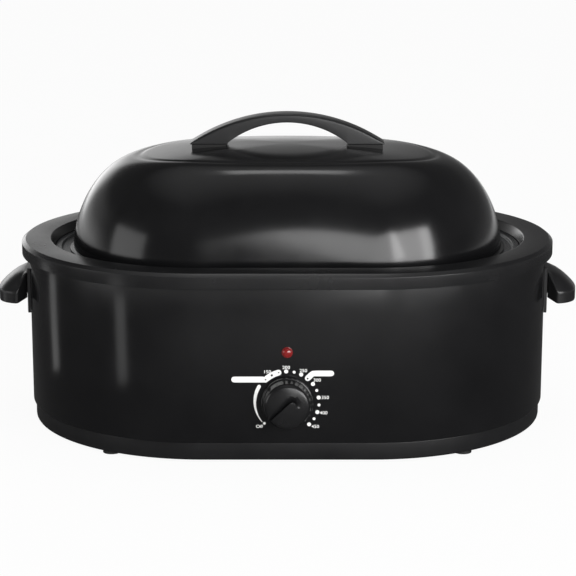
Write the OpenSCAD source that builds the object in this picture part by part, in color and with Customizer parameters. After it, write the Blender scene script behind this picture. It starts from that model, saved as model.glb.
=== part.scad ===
// Countertop electric roaster oven: an oval steel housing with a heated well, a lift-out pan and
// rack, and a loose high-dome lid with an arch handle.
// Millimetres, +Z up, front towards -Y. The origin lies on the table under the centre of the body.

/* [Body] */
// Length of the painted body along X
body_l = 538; // [480:2:600]
// Depth of the painted body along Y
body_d = 372; // [340:2:410]
// Height of the painted wall that shows between the base ring and the rim
body_wall_h = 155.5; // [135:0.5:180]
// Thickness of the body's steel sheet
sheet_t = 1; // [0.8:0.1:1.4]
// Width of the flange that the body's sheet turns inwards at the bottom
body_flange_w = 20; // [18:1:24]

/* [Base] */
// Height of the feet under the base ring
foot_stand = 3; // [2.5:0.5:8]
// Height of the base ring that shows under the body
base_h = 18; // [15:0.5:26]
// How far the base ring stands in from the body's wall
base_step = 2.6; // [1.6:0.2:5]
// Wall of the moulded base ring
base_wall = 2.5; // [2:0.1:3.5]
// Width of the base ring's flanges
base_flange_w = 22; // [20:1:26]
// Radius of a rubber foot
foot_r = 9; // [7:0.5:9.5]
// Radius of the peg that holds a foot in the ring
foot_peg_r = 3; // [2:0.5:4]

/* [Rim] */
// How far the top rim overhangs the body
rim_overhang = 7.5; // [5:0.5:10]
// Width of the rim's flat top
rim_land = 30; // [27:0.5:34]
// Height of the rim's outer skirt
rim_skirt_h = 15; // [12:0.5:20]
// Wall of the rim
rim_wall = 2.5; // [2:0.1:3]
// Rounding of the rim's outer edge
rim_edge_r = 2; // [1:0.25:2.25]
// Run of the sloped wall that leads down into the recess
rim_slope_w = 4; // [3:0.5:6]
// Depth from the rim's top to the pan's lip
recess_depth = 9; // [8:0.5:14]

/* [Pan] */
// Thickness of the enamelled pan
pan_t = 1.2; // [1:0.1:1.6]
// Width of the pan's lip
pan_lip_w = 7.5; // [6:0.5:9]
// Drop from the lip to the ledge that carries the lid
pan_step = 2.8; // [2.4:0.2:4]
// Width of the ledge that carries the lid
pan_ledge_w = 12.5; // [11:0.5:15]
// Lean of the pan's wall inwards
pan_draft = 3; // [0:0.5:5]
// Radius between the pan's wall and floor
pan_corner_r = 25; // [15:1:35]
// Depth of the pan below the ledge
pan_depth = 132; // [110:1:133]

/* [Well] */
// Thickness of the heating well
well_t = 1; // [0.8:0.1:1.2]
// Gap between the pan's wall and the well's wall at the top
well_gap = 7; // [5:0.5:8]
// Gap between the pan's floor and the well's floor
well_floor_gap = 8; // [5:0.5:10]
// Width of the well's flange outside the pan's lip
well_flange_w = 18; // [16:0.5:20]

/* [Heating] */
// Thickness of the heating band
band_t = 2.2; // [1.6:0.2:3]
// Height of the heating band
band_h = 40; // [30:1:60]
// Height of the band's lower edge above the well's floor
band_rise = 30; // [28:1:45]
// Half the width of the break in the band and the blanket behind the controls
control_half_w = 45; // [42:1:60]
// Thickness of the glass-fibre blanket
blanket_t = 11; // [8:0.5:12]
// Thickness of the spring clips that hold the band
clip_t = 0.6; // [0.4:0.1:1]

/* [Lid] */
// Thickness of the lid's sheet
lid_t = 1.2; // [1:0.1:1.6]
// Width of the lid's flange
lid_flange_w = 3; // [2:0.5:4]
// Height of the lid from its flange to the edge of the top panel, at the ends
lid_end_h = 95; // [80:1:110]
// Extra height of the panel's edge at the front and back
lid_front_rise = 5.5; // [0:0.5:10]
// Crown of the top panel above its edge at the ends
lid_crown_h = 12.5; // [8:0.5:18]
// Half length of the top panel
panel_half_l = 154; // [140:1:165]
// Half depth of the top panel
panel_half_d = 89; // [75:1:95]
// Height of the bead pressed round the top panel
panel_bead_h = 0.9; // [0:0.1:1.5]

/* [Lid handle] */
// Length of the lid's handle over its feet
arch_l = 200; // [180:2:220]
// Height of the arch's top above the foot's sole
arch_h = 31.5; // [28:0.5:40]
// Height of the foot's outer tip
arch_tip_h = 1.2; // [0.8:0.1:3]
// Height of the arch at the middle of its span
arch_t = 8.8; // [7:0.2:11]
// Clear opening between the feet
arch_opening = 123; // [110:1:130]
// Height of the opening's springing above the sole
arch_spring_h = 1.6; // [1:0.2:3]
// Depth of the handle from front to back
arch_d = 26; // [22:1:30]
// Rounding along the handle's top edges
arch_edge_r = 2.5; // [1:0.5:4]
// Distance of each handle screw from the centre
arch_screw_x = 82; // [76:1:86]

/* [Side handles] */
// Reach of a side handle beyond the body's end
grip_reach = 33.5; // [28:0.5:38]
// Length of a side handle along the wall
grip_l = 96; // [80:1:110]
// Height of the grip's back at the wall
grip_top_z = 160; // [150:0.5:168]
// Height at which the grip's arched top meets its outer skirt
grip_edge_z = 138.5; // [134:0.5:146]
// Height of the skirt's lower edge
grip_bottom_z = 126.5; // [122:0.5:132]
// Radius of the arched top
grip_arch_r = 62; // [50:1:90]
// Thickness of the grip's shell
grip_wall = 3; // [2.5:0.25:3.5]
// Thickness of the wall bracket
bracket_t = 3; // [2:0.25:3.5]
// Height of the wall bracket's lower edge
bracket_bottom_z = 115; // [110:1:120]
// Length of the wall bracket along the wall
bracket_l = 70; // [64:1:80]
// Half the distance between the two screws of a grip
grip_screw_y = 18; // [14:1:22]

/* [Controls] */
// Height of the dial's centre
dial_z = 63; // [58:1:68]
// Height of the indicator light
lamp_z = 113; // [106:1:118]
// Radius of the knob's skirt
knob_skirt_r = 25.5; // [22:0.5:28]
// Radius of the knob's grip
knob_r = 23; // [19:0.5:24]
// Reach of the knob from the body's wall
knob_reach = 20; // [17:0.5:24]
// Radius of the thermostat's shaft
shaft_r = 3; // [2.5:0.25:3.5]
// Radius of the indicator's lens
lens_r = 5.4; // [4:0.2:6]

/* [Cord entry] */
// Distance of the cord gland from the end of the straight back wall
gland_inset = 18; // [12:1:30]
// Height of the cord gland
gland_z = 48; // [42:1:60]
// Radius of the gland's bore
gland_bore_r = 3.8; // [3:0.1:4.5]
// Reach of the gland behind the body
gland_reach = 14; // [12:0.5:18]

/* [Rack] */
// Radius of the rack's frame wire
frame_wire_r = 2.5; // [2:0.25:3]
// Radius of the rack's cross wires
cross_wire_r = 1.75; // [1.25:0.25:1.75]
// Radius of the wire of the rack's lifting loops and legs
loop_wire_r = 2.1; // [1.8:0.1:2.2]
// Gap between the rack's legs and the round at the foot of the pan's wall
rack_gap = 1; // [0.5:0.5:8]
// Height of the rack's lifting loops above the frame
loop_h = 62; // [40:1:80]
// Half the width of a lifting loop
loop_half_w = 38; // [30:1:46]
// Number of cross wires
cross_wires = 13; // [9:2:17]

/* [Fits] */
// Gap between parts that rest on each other
seat_gap = 0.3; // [0.2:0.05:0.5]
// Running clearance of the thermostat's shaft, on the radius
shaft_clearance = 0.05; // [0.02:0.01:0.08]
// Clearance of a screw in the sheets that it passes, on the radius
screw_clearance = 0.4; // [0.2:0.05:0.6]
// Radius of the screws
screw_r = 2; // [1.5:0.25:2.5]
// Side clearance between the pan's lip and the rim
lip_gap = 0.5; // [0.4:0.1:1]

/* [Hidden] */
$fn = 96;

// The plan is an oval with half-round ends, and every ring is an offset of the body's outer face.
half_l = body_l / 2;
half_d = body_d / 2;
end_r = half_d;
end_x = half_l - end_r;

// Heights
base_top = foot_stand + base_h;
rim_bottom = base_top + body_wall_h;
rim_top = rim_bottom + rim_skirt_h;
lip_top = rim_top - recess_depth;
ledge_top = lip_top - pan_step;
seat_z = ledge_top - pan_t - seat_gap;
pan_floor = ledge_top - pan_depth;
well_floor = pan_floor - well_floor_gap - well_t;
lid_z = ledge_top + seat_gap;

// Offsets from the body's outer face, negative inwards
rim_in = rim_overhang - rim_land;
rim_foot_in = rim_in - rim_slope_w;
lip_out = rim_foot_in - lip_gap;
lip_in = lip_out - pan_lip_w;
ledge_in = lip_in - pan_ledge_w;
well_wall = ledge_in + well_gap;
well_flange_out = lip_out + well_flange_w;
band_off = well_wall + well_t + seat_gap;
clip_off = band_off + band_t + seat_gap;
blanket_in = clip_off + clip_t + seat_gap;
gland_x = end_x - gland_inset;
base_out = -base_step;
screw_off = base_out - base_wall - 8;

// Screws: head and washer sizes
head_r = 2 * screw_r;
head_h = 0.9 * screw_r;

// ---------------------------------------------------------------- plan helpers

// Sweeps a profile round the oval. The profile's x is the offset from the body's outer face.
module oval_sweep() {
    for (side = [0, 1]) mirror([side, 0, 0])
        translate([end_x, 0, 0]) rotate([0, 0, -90])
            rotate_extrude(angle = 180) translate([end_r, 0]) children();
    for (side = [0, 1]) mirror([0, side, 0])
        translate([end_x, -half_d, 0]) rotate([90, 0, -90])
            linear_extrude(height = 2 * end_x) children();
}

// The flat oval at an offset from the body's outer face
module oval_2d(off) {
    for (side = [-1, 1]) translate([side * end_x, 0]) circle(r = end_r + off);
    translate([-end_x, -end_r - off]) square([2 * end_x, 2 * (end_r + off)]);
}

// A flat oval plate
module oval_plate(off, z, t) {
    translate([0, 0, z]) linear_extrude(height = t) oval_2d(off);
}

// A ring of rectangular section between two offsets
module oval_band(off_a, off_b, z, h) {
    oval_sweep() translate([off_a, z]) square([off_b - off_a, h]);
}

// Point of the oval on its right or left end, at an angle from the X axis
function end_point(off, a, side) = [side * (end_x + (end_r + off) * cos(a)), (end_r + off) * sin(a)];

// Y of the oval at x, on the front side
function front_y(off, x) = abs(x) < end_x ? -half_d - off
    : -sqrt(pow(end_r + off, 2) - pow(abs(x) - end_x, 2));

// A cylinder along Y whose axis passes through x and z, from y0 to y1
module y_rod(x, z, y0, y1, r) {
    translate([x, y1, z]) rotate([90, 0, 0]) cylinder(r = r, h = y1 - y0);
}

// Outer line of a drawn bowl's side from its top down to the flat floor: a wall that leans inwards
// by a run, and a round of radius r. w is the wall's offset at z_top.
bowl_steps = 6;
function bowl_line(w, z_top, z_floor, r, lean) =
    let (cx = bowl_round_x(w, z_top, z_floor, r, lean), cz = z_floor + r)
    [[w, z_top], for (i = [0 : bowl_steps]) let (a = -lean + (-90 + lean) * i / bowl_steps)
        [cx + r * cos(a), cz + r * sin(a)]];

// Offset of the centre of that round
function bowl_round_x(w, z_top, z_floor, r, lean) =
    w - (z_top - z_floor - r) * tan(lean) - r / cos(lean);

function reversed(list) = [for (i = [len(list) - 1 : -1 : 0]) list[i]];

// Drawn bowl of sheet t with its outer wall at offset w
module drawn_bowl(w, z_top, z_floor, r, lean, t) {
    core = floor(bowl_round_x(w, z_top, z_floor, r, lean)) - 1;
    oval_sweep() polygon(concat(
        bowl_line(w, z_top, z_floor, r, lean), [[core - 2, z_floor], [core - 2, z_floor + t]],
        reversed(bowl_line(w - t / cos(lean), z_top, z_floor + t, r - t, lean))));
    oval_plate(core, z_floor, t);
}

// A pan-head screw along +Z with its head's bearing face at z = 0 and its head below it
module screw(length) {
    cylinder(r = screw_r, h = length);
    translate([0, 0, -head_h]) cylinder(r = head_r, h = head_h);
}

// ---------------------------------------------------------------- base

// Places of the base screws and of the feet
base_screw_angle = 33;
foot_angle = 58;
base_screw_points = [for (s = [-1, 1], a = [-1, 1]) end_point(screw_off, a * base_screw_angle, s)];
foot_points = [for (s = [-1, 1], a = [-1, 1]) end_point(screw_off, a * foot_angle, s)];
boss_r = screw_r + 2.5;
plate_z = foot_stand + base_wall + seat_gap;
base_screw_l = base_top + sheet_t + 3 - foot_stand;

module base_ring() {
    color("dimgray") difference() {
        union() {
            oval_sweep() {
                translate([base_out - base_wall, foot_stand]) square([base_wall, base_h]);
                translate([base_out - base_flange_w, foot_stand]) square([base_flange_w, base_wall]);
                translate([base_out - base_flange_w, base_top - base_wall - seat_gap])
                    square([base_flange_w, base_wall]);
            }
            for (p = base_screw_points) translate([p[0], p[1], foot_stand])
                cylinder(r = boss_r, h = base_h - seat_gap);
        }
        for (p = base_screw_points) translate([p[0], p[1], foot_stand - 1])
            cylinder(r = screw_r + screw_clearance, h = base_h + 2);
        for (p = foot_points) translate([p[0], p[1], foot_stand - 1])
            cylinder(r = foot_peg_r + shaft_clearance, h = base_wall + 2);
    }
}

vent_slot = [44, 4];
vent_pitch = 14;
vent_rows = 3;
plate_off = base_out - base_wall - seat_gap;

module bottom_plate() {
    color("silver") difference() {
        oval_plate(plate_off, plate_z, sheet_t);
        for (p = base_screw_points) translate([p[0], p[1], plate_z - 1])
            cylinder(r = boss_r + screw_clearance, h = sheet_t + 2);
        for (p = foot_points) translate([p[0], p[1], plate_z - 1])
            cylinder(r = foot_peg_r + screw_clearance, h = sheet_t + 2);
        for (s = [-1, 1], k = [-vent_rows : vent_rows])
            translate([s * end_x - vent_slot[0] / 2, k * vent_pitch - vent_slot[1] / 2, plate_z - 1])
                cube([vent_slot[0], vent_slot[1], sheet_t + 2]);
    }
}

module base_screws() {
    color("silver") for (p = base_screw_points)
        translate([p[0], p[1], foot_stand - seat_gap]) screw(base_screw_l);
}

module feet() {
    color("black") for (p = foot_points) translate([p[0], p[1], 0]) {
        cylinder(r = foot_r, h = foot_stand - seat_gap);
        cylinder(r = foot_peg_r, h = plate_z + sheet_t);
    }
}

// ---------------------------------------------------------------- body

wall_hole_gap = 1;
gland_body_r = gland_bore_r + 3.2;
lamp_body_r = lens_r - 1.2;
body_top = rim_top - rim_wall - seat_gap;

// The screws of a grip run along X, so their heads bear on the round wall at their outer side.
grip_screw_back = -half_d + sqrt(pow(half_d - sheet_t, 2) - pow(grip_screw_y + 2 * screw_r, 2))
    - seat_gap;
grip_screw_z = grip_edge_z + 1;
module at_grip_screws(side) {
    for (k = [-1, 1]) translate([side * (end_x + end_r), k * grip_screw_y, grip_screw_z])
        rotate([0, side * 90, 0]) children();
}

module outer_body() {
    color("black") difference() {
        union() {
            oval_band(-sheet_t, 0, base_top, body_top - base_top);
            oval_band(-body_flange_w, 0, base_top, sheet_t);
        }
        for (p = base_screw_points) translate([p[0], p[1], base_top - 1])
            cylinder(r = screw_r + screw_clearance, h = sheet_t + 2);
        y_rod(0, dial_z, -half_d - 5, -half_d + 5, shaft_r + wall_hole_gap);
        y_rod(0, lamp_z, -half_d - 5, -half_d + 5, lamp_body_r + screw_clearance);
        y_rod(gland_x, gland_z, half_d - 8, half_d + 5, gland_body_r + screw_clearance);
        for (side = [-1, 1]) at_grip_screws(side)
            translate([0, 0, -12]) cylinder(r = screw_r + screw_clearance, h = 20);
    }
}

// ---------------------------------------------------------------- rim

rim_screw_angles = [-60, -20, 20, 60];
rim_boss_r = screw_r + 2;
rim_screw_l = 8;
rim_rib_t = 2;
rim_rib_h = 5;
rim_screw_off = (well_flange_out + rim_foot_in + rim_wall) / 2;
rim_screw_points = [for (s = [-1, 1], a = rim_screw_angles) end_point(rim_screw_off, a, s)];

module rim_profile() {
    // skirt, flat top and rounded outer edge
    translate([rim_overhang - rim_wall, rim_bottom]) square([rim_wall, rim_skirt_h - rim_edge_r]);
    translate([rim_in, rim_top - rim_wall]) square([rim_land - rim_edge_r, rim_wall]);
    translate([rim_overhang - rim_edge_r, rim_top - rim_edge_r]) circle(r = rim_edge_r);
    // slope into the recess and its foot on the well's flange
    polygon([[rim_in, rim_top], [rim_foot_in, lip_top], [rim_foot_in, seat_z + seat_gap],
        [rim_foot_in + rim_wall, seat_z + seat_gap], [rim_foot_in + rim_wall, lip_top - 1],
        [rim_in + rim_wall, rim_top - rim_wall]]);
    // rib that locates the body's wall
    translate([-sheet_t - seat_gap - rim_rib_t, body_top - rim_rib_h])
        square([rim_rib_t, rim_rib_h + seat_gap + 1]);
}

module top_rim() {
    color("black") difference() {
        union() {
            oval_sweep() rim_profile();
            for (p = rim_screw_points) translate([p[0], p[1], seat_z + seat_gap])
                cylinder(r = rim_boss_r, h = rim_top - rim_wall - seat_z);
        }
        for (p = rim_screw_points) translate([p[0], p[1], seat_z - 1])
            cylinder(r = screw_r + shaft_clearance, h = rim_screw_l + 0.5);
    }
}

module rim_screws() {
    color("silver") for (p = rim_screw_points)
        translate([p[0], p[1], seat_z - well_t - seat_gap]) screw(rim_screw_l);
}

// ---------------------------------------------------------------- well and heating

well_r = pan_corner_r - 4;

module heating_well() {
    color("silver") difference() {
        union() {
            drawn_bowl(well_wall + well_t, seat_z, well_floor, well_r, pan_draft, well_t);
            oval_band(well_wall, well_flange_out, seat_z - well_t, well_t);
        }
        for (p = rim_screw_points) translate([p[0], p[1], seat_z - well_t - 1])
            cylinder(r = screw_r + screw_clearance, h = well_t + 2);
    }
}

// The well's wall leans, so what wraps it follows the same lean
module leaning_band(w, t, z0, z1) {
    lean = tan(pan_draft);
    oval_sweep() polygon([[w - (seat_z - z0) * lean, z0], [w - (seat_z - z0) * lean + t, z0],
        [w - (seat_z - z1) * lean + t, z1], [w - (seat_z - z1) * lean, z1]]);
}

band_z = well_floor + band_rise;

module control_window(extra) {
    translate([-control_half_w - extra, -half_d, 0]) cube([2 * (control_half_w + extra), half_d, rim_top]);
}

module heating_band() {
    color("tan") difference() {
        leaning_band(band_off, band_t, band_z, band_z + band_h);
        control_window(0);
    }
    // connector studs at the band's two ends
    stud_off = band_off + band_t - (seat_z - band_z - band_h / 2) * tan(pan_draft);
    for (s = [-1, 1]) color("silver")
        y_rod(s * (control_half_w + 7), band_z + band_h / 2, front_y(stud_off + 7, 0),
            front_y(stud_off - band_t / 2, 0), 2);
}

clip_w = 12;
clip_pitch = 75;
module band_clips() {
    color("silver") intersection() {
        leaning_band(clip_off, clip_t, band_z - 6, band_z + band_h + 6);
        for (k = [-2, -1, 1, 2], s = [-1, 1])
            translate([k * clip_pitch - clip_w / 2, s > 0 ? 0 : -half_d, 0])
                cube([clip_w, half_d, rim_top]);
    }
}

module insulation_blanket() {
    color("khaki") difference() {
        leaning_band(blanket_in, blanket_t, well_floor + 10, seat_z - well_t - 6);
        control_window(14);
    }
}

// ---------------------------------------------------------------- pan and rack

module pan_lip_profile() {
    roll_r = (pan_step + pan_t) / 2;
    translate([lip_out - roll_r, lip_top - roll_r]) circle(r = roll_r);
    translate([lip_in - pan_t, lip_top - pan_t]) square([lip_out - roll_r - lip_in + pan_t, pan_t]);
    translate([lip_in - pan_t, ledge_top - pan_t]) square([pan_t, pan_step + pan_t]);
    translate([ledge_in - pan_t / 2, ledge_top - pan_t]) square([lip_in - ledge_in + pan_t / 2, pan_t]);
}

module cooking_pan() {
    color("black") {
        drawn_bowl(ledge_in, ledge_top, pan_floor, pan_corner_r, pan_draft, pan_t);
        oval_sweep() pan_lip_profile();
    }
}

rack_foot_h = 9;
rack_z = pan_floor + pan_t + seat_gap + rack_foot_h + frame_wire_r;
rack_off = bowl_round_x(ledge_in, ledge_top, pan_floor, pan_corner_r, pan_draft)
    - max(loop_wire_r, frame_wire_r) - rack_gap;
rack_half_l = end_x + end_r + rack_off;
rack_end_gap = 40;
rack_leg_angle = 50;
loop_bend_r = 12;
wire_pitch = 2 * (rack_half_l - rack_end_gap) / (cross_wires - 1);

module lifting_loop(side) {
    loop_x = side * (end_x + sqrt(pow(end_r + rack_off, 2) - pow(loop_half_w, 2)));
    for (s = [-1, 1]) {
        translate([loop_x, s * loop_half_w, rack_z])
            cylinder(r = loop_wire_r, h = loop_h - loop_bend_r);
        translate([loop_x, s * (loop_half_w - loop_bend_r), rack_z + loop_h - loop_bend_r])
            rotate([90, 0, 90]) rotate([0, 0, s > 0 ? 0 : 90])
                rotate_extrude(angle = 90) translate([loop_bend_r, 0]) circle(r = loop_wire_r, $fn = 24);
    }
    y_rod(loop_x, rack_z + loop_h, -loop_half_w + loop_bend_r, loop_half_w - loop_bend_r, loop_wire_r);
}

module roasting_rack() {
    color("lightgray") {
        oval_sweep() translate([rack_off, rack_z]) circle(r = frame_wire_r, $fn = 24);
        for (k = [0 : cross_wires - 1]) {
            x = -rack_half_l + rack_end_gap + k * wire_pitch;
            y_rod(x, rack_z + frame_wire_r / 2, front_y(rack_off, x), -front_y(rack_off, x),
                cross_wire_r);
        }
        for (s = [-1, 1]) lifting_loop(s);
        for (s = [-1, 1], a = [-1, 1]) {
            p = end_point(rack_off, a * rack_leg_angle, s);
            translate([p[0], p[1], rack_z - frame_wire_r - rack_foot_h])
                cylinder(r = loop_wire_r, h = rack_foot_h + frame_wire_r);
        }
    }
}

// ---------------------------------------------------------------- lid

// Rings of the lid are ovals of the same family, each given by its half length and half depth.
lid_half_l = half_l + ledge_in + 1.2;
lid_half_d = half_d + ledge_in + 1.2;
bow_steps = 14;
end_steps = 26;
wall_rings = 12;
panel_rings = 5;
profile_side_power = 1.9;
profile_rise_power = 1.75;

// End radius of an oval of half length a and half depth b whose front bows with radius q
function oval_end_r(a, b, q) = (2 * q * b - b * b - a * a) / (2 * (q - a));

// One ring of points, counter-clockwise from the front, at height z_end on the ends and z_front
// on the long sides. The bow tightens towards the top, so that the panel's outline is a true oval.
function lid_ring(a, b, q, z_end, z_front) =
    let (r = oval_end_r(a, b, q), c = a - r, al = asin(c / (q - r)), k = q - b)
    [for (half = [0, 1]) each [
        for (i = [0 : bow_steps - 1]) let (t = -al + 2 * al * i / bow_steps, s = half == 0 ? 1 : -1)
            [s * q * sin(t), s * (k - q * cos(t)), mix(z_end, z_front, pow(cos(90 * t / 90), 2))],
        for (i = [0 : end_steps - 1]) let (t = al + (180 - 2 * al) * i / end_steps,
                s = half == 0 ? 1 : -1)
            [s * (c + r * sin(t)), -s * r * cos(t), mix(z_end, z_front, pow(cos(t), 2))]]];

function mix(a, b, t) = a + (b - a) * t;

// The wall starts inside the flange's thickness.
lid_root_z = lid_z + lid_t / 2;

// Bow radius of a ring that has risen by the share u: all but straight at the flange
flange_bow = 90000;
function lid_bow(u) = 1 / mix(1 / flange_bow, 1 / (2.2 * panel_half_l), pow(u, 2));

// Wall rings from the flange to the panel's edge, drawn in by d, then the panel's rings and crown
function lid_wall(d) = [for (i = [0 : wall_rings]) let (g = 90 * i / wall_rings,
        v = pow(cos(g), 2 / profile_side_power), u = pow(sin(g), 2 / profile_rise_power))
    lid_ring(mix(panel_half_l, lid_half_l, v) - d, mix(panel_half_d, lid_half_d, v) - d, lid_bow(u),
        mix(lid_root_z, lid_z + lid_end_h, u) - d * u,
        mix(lid_root_z, lid_z + lid_end_h + lid_front_rise, u) - d * u)];

function lid_panel(d) = [for (i = [1 : panel_rings]) let (s = 1 - i / (panel_rings + 1),
        bead = i == 1 ? panel_bead_h : 0)
    lid_ring((panel_half_l - d) * s, (panel_half_d - d) * s, lid_bow(1) * s,
        lid_z + lid_end_h + lid_crown_h * (1 - s * s) - d + bead,
        lid_z + lid_end_h + mix(lid_front_rise, lid_crown_h, 1 - s * s) - d + bead)];

// Faces of a stack of rings: quads between neighbours, and a fan that closes one end
function ring_faces(n, first, rings, flip) = [for (j = [0 : rings - 2], i = [0 : n - 1], h = [0, 1])
    let (a = first + j * n + i, b = first + j * n + (i + 1) % n, f = h == 0 ? [a, b, b + n] : [a, b + n, a + n])
    flip ? [f[2], f[1], f[0]] : f];

function fan_faces(n, first, apex, flip) = [for (i = [0 : n - 1])
    let (f = [first + i, first + (i + 1) % n, apex]) flip ? [f[2], f[1], f[0]] : f];

ring_n = 2 * (bow_steps + end_steps);
crown_z = lid_z + lid_end_h + lid_crown_h;

// The lid's outer form as a closed solid, lifted by a gap
module lid_form(lift) {
    rings = concat(lid_wall(0), lid_panel(0));
    n = ring_n;
    pts = concat([for (r = rings) each r], [[0, 0, crown_z], [0, 0, lid_root_z]]);
    top = len(rings) * n;
    translate([0, 0, lift]) polyhedron(pts, concat(ring_faces(n, 0, len(rings), true),
        fan_faces(n, (len(rings) - 1) * n, top, true), fan_faces(n, 0, top + 1, false)));
}

module lid_dome() {
    outer = concat(lid_wall(0), lid_panel(0));
    inner = concat(lid_wall(lid_t), lid_panel(lid_t));
    n = ring_n;
    m = len(outer) * n;
    pts = concat([for (r = outer) each r], [for (r = inner) each r],
        [[0, 0, crown_z], [0, 0, crown_z - lid_t]]);
    polyhedron(pts, concat(
        ring_faces(n, 0, len(outer), true), ring_faces(n, m, len(inner), false),
        fan_faces(n, m - n, 2 * m, true), fan_faces(n, 2 * m - n, 2 * m + 1, false),
        [for (i = [0 : n - 1], h = [0, 1]) let (a = i, b = (i + 1) % n)
            h == 0 ? [a, m + b, b] : [a, m + a, m + b]]));
}

lid_screw_hole_r = screw_r + screw_clearance;
module lid_shell() {
    flange_in = lid_half_l - half_l - lid_t / 2;
    color("black") difference() {
        union() {
            lid_dome();
            oval_sweep() {
                translate([flange_in, lid_z]) square([lid_flange_w + lid_t / 2, lid_t]);
                translate([flange_in + lid_flange_w + lid_t / 2, lid_z + lid_t / 2]) circle(r = lid_t / 2);
            }
        }
        for (s = [-1, 1]) translate([s * arch_screw_x, 0, lid_z + 40])
            cylinder(r = lid_screw_hole_r, h = lid_end_h);
    }
}

// ---------------------------------------------------------------- lid handle

sole_z = crown_z + 0.3;
arch_top_r = (pow(arch_l / 2, 2) + pow(arch_h - arch_tip_h, 2)) / (2 * (arch_h - arch_tip_h));
arch_under_h = arch_h - arch_t - arch_spring_h;
arch_under_r = (pow(arch_opening / 2, 2) + pow(arch_under_h, 2)) / (2 * arch_under_h);

module lid_handle() {
    color("black") difference() {
        intersection() {
            // disc about Y with rounded edges, which gives the arch's top
            translate([0, 0, sole_z + arch_h - arch_top_r]) rotate([90, 0, 0])
                rotate_extrude($fn = 240) {
                    translate([0, -arch_d / 2]) square([arch_top_r - arch_edge_r, arch_d]);
                    translate([0, -arch_d / 2 + arch_edge_r]) square([arch_top_r, arch_d - 2 * arch_edge_r]);
                    for (s = [-1, 1]) translate([arch_top_r - arch_edge_r, s * (arch_d / 2 - arch_edge_r)])
                        circle(r = arch_edge_r);
                }
            translate([-arch_l / 2, -arch_d, sole_z]) cube([arch_l, 2 * arch_d, arch_h + 1]);
        }
        // opening under the arch
        translate([0, 0, sole_z + arch_spring_h + arch_under_h - arch_under_r]) rotate([90, 0, 0])
            translate([0, 0, -arch_d]) cylinder(r = arch_under_r, h = 2 * arch_d, $fn = 180);
        translate([-arch_opening / 2, -arch_d, sole_z - 1])
            cube([arch_opening, 2 * arch_d, arch_spring_h + 1]);
        for (s = [-1, 1]) translate([s * arch_screw_x, 0, sole_z - 1])
            cylinder(r = screw_r + shaft_clearance, h = 7);
    }
}

gasket_inset = 1.5;
module lid_handle_gaskets() {
    foot_l = (arch_l - arch_opening) / 2;
    color("dimgray") for (s = [-1, 1]) difference() {
        translate([s * (arch_opening + foot_l) / 2 - foot_l / 2 + gasket_inset,
            -arch_d / 2 + gasket_inset, sole_z - 12])
            cube([foot_l - 2 * gasket_inset, arch_d - 2 * gasket_inset, 12 - seat_gap]);
        lid_form(seat_gap);
        translate([s * arch_screw_x, 0, sole_z - 14]) cylinder(r = screw_r + screw_clearance, h = 16);
    }
}

// The heads bear on the under side of the panel, which falls away from its crown.
lid_screw_z = lid_z + lid_end_h - lid_t - seat_gap
    + lid_crown_h * (1 - pow((arch_screw_x + head_r) / panel_half_l, 2));
module lid_handle_screws() {
    color("silver") for (s = [-1, 1]) translate([s * arch_screw_x, 0, lid_screw_z])
        screw(sole_z + 5 - lid_screw_z);
}

// ---------------------------------------------------------------- side handles

module handle_bracket(side) {
    color("black") difference() {
        intersection() {
            oval_band(seat_gap, seat_gap + bracket_t, bracket_bottom_z,
                grip_top_z - bracket_bottom_z + 2);
            translate([side > 0 ? 0 : -2 * half_l, -bracket_l / 2, 0]) cube([2 * half_l, bracket_l, rim_top]);
        }
        at_grip_screws(side) translate([0, 0, -12])
            cylinder(r = screw_r + screw_clearance, h = 20);
    }
}

module left_handle_bracket() { handle_bracket(-1); }
module right_handle_bracket() { handle_bracket(1); }

// Distances of the grip's back from the body's end
grip_back = 2 * seat_gap + bracket_t;
grip_cheek_lean = 28;
grip_boss_r = screw_r + 2.5;
grip_boss_l = 8;

// The arched top is an arc through the back's top and the skirt's top edge.
arch_dx = grip_reach - grip_back;
arch_dz = grip_top_z - grip_edge_z;
arch_chord = sqrt(arch_dx * arch_dx + arch_dz * arch_dz);
arch_sag = sqrt(grip_arch_r * grip_arch_r - arch_chord * arch_chord / 4);
arch_cx = (grip_back + grip_reach) / 2 - arch_sag * arch_dz / arch_chord;
arch_cz = (grip_top_z + grip_edge_z) / 2 - arch_sag * arch_dx / arch_chord;

// Section of the grip drawn in by d: x is the distance from the body's end, y the height
module grip_profile(d) {
    intersection() {
        translate([arch_cx, arch_cz]) circle(r = grip_arch_r - d, $fn = 240);
        translate([d == 0 ? -8 : grip_back + d, grip_bottom_z - d])
            square([grip_reach - d + (d == 0 ? 8 : -grip_back - d), grip_top_z - grip_bottom_z + d]);
    }
}

// Plan of the grip drawn in by d: a bowed outer edge, rounded corners and slanted cheeks
grip_bow_r = 115;
grip_corner_r = 11;
module grip_plan(d) {
    bow_x = half_l + grip_reach - grip_bow_r;
    corner_y = grip_l / 2 - grip_corner_r;
    corner_x = bow_x + sqrt(pow(grip_bow_r - grip_corner_r, 2) - pow(corner_y, 2));
    touch_y = corner_y * grip_bow_r / (grip_bow_r - grip_corner_r);
    cheek_x = corner_x - grip_corner_r * sin(grip_cheek_lean);
    cheek_y = corner_y + grip_corner_r * cos(grip_cheek_lean);
    back_x = half_l - 20;
    back_y = cheek_y - (cheek_x - back_x) * tan(grip_cheek_lean);
    for (s = [-1, 1]) translate([corner_x, s * corner_y]) circle(r = grip_corner_r - d);
    polygon([[back_x, -back_y + d], [cheek_x, -cheek_y + d], [corner_x, -corner_y],
        [corner_x, corner_y], [cheek_x, cheek_y - d], [back_x, back_y - d]]);
    intersection() {
        translate([bow_x, 0]) circle(r = grip_bow_r - d, $fn = 180);
        translate([half_l - 40, -touch_y]) square([grip_reach + 50, 2 * touch_y]);
    }
}

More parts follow.
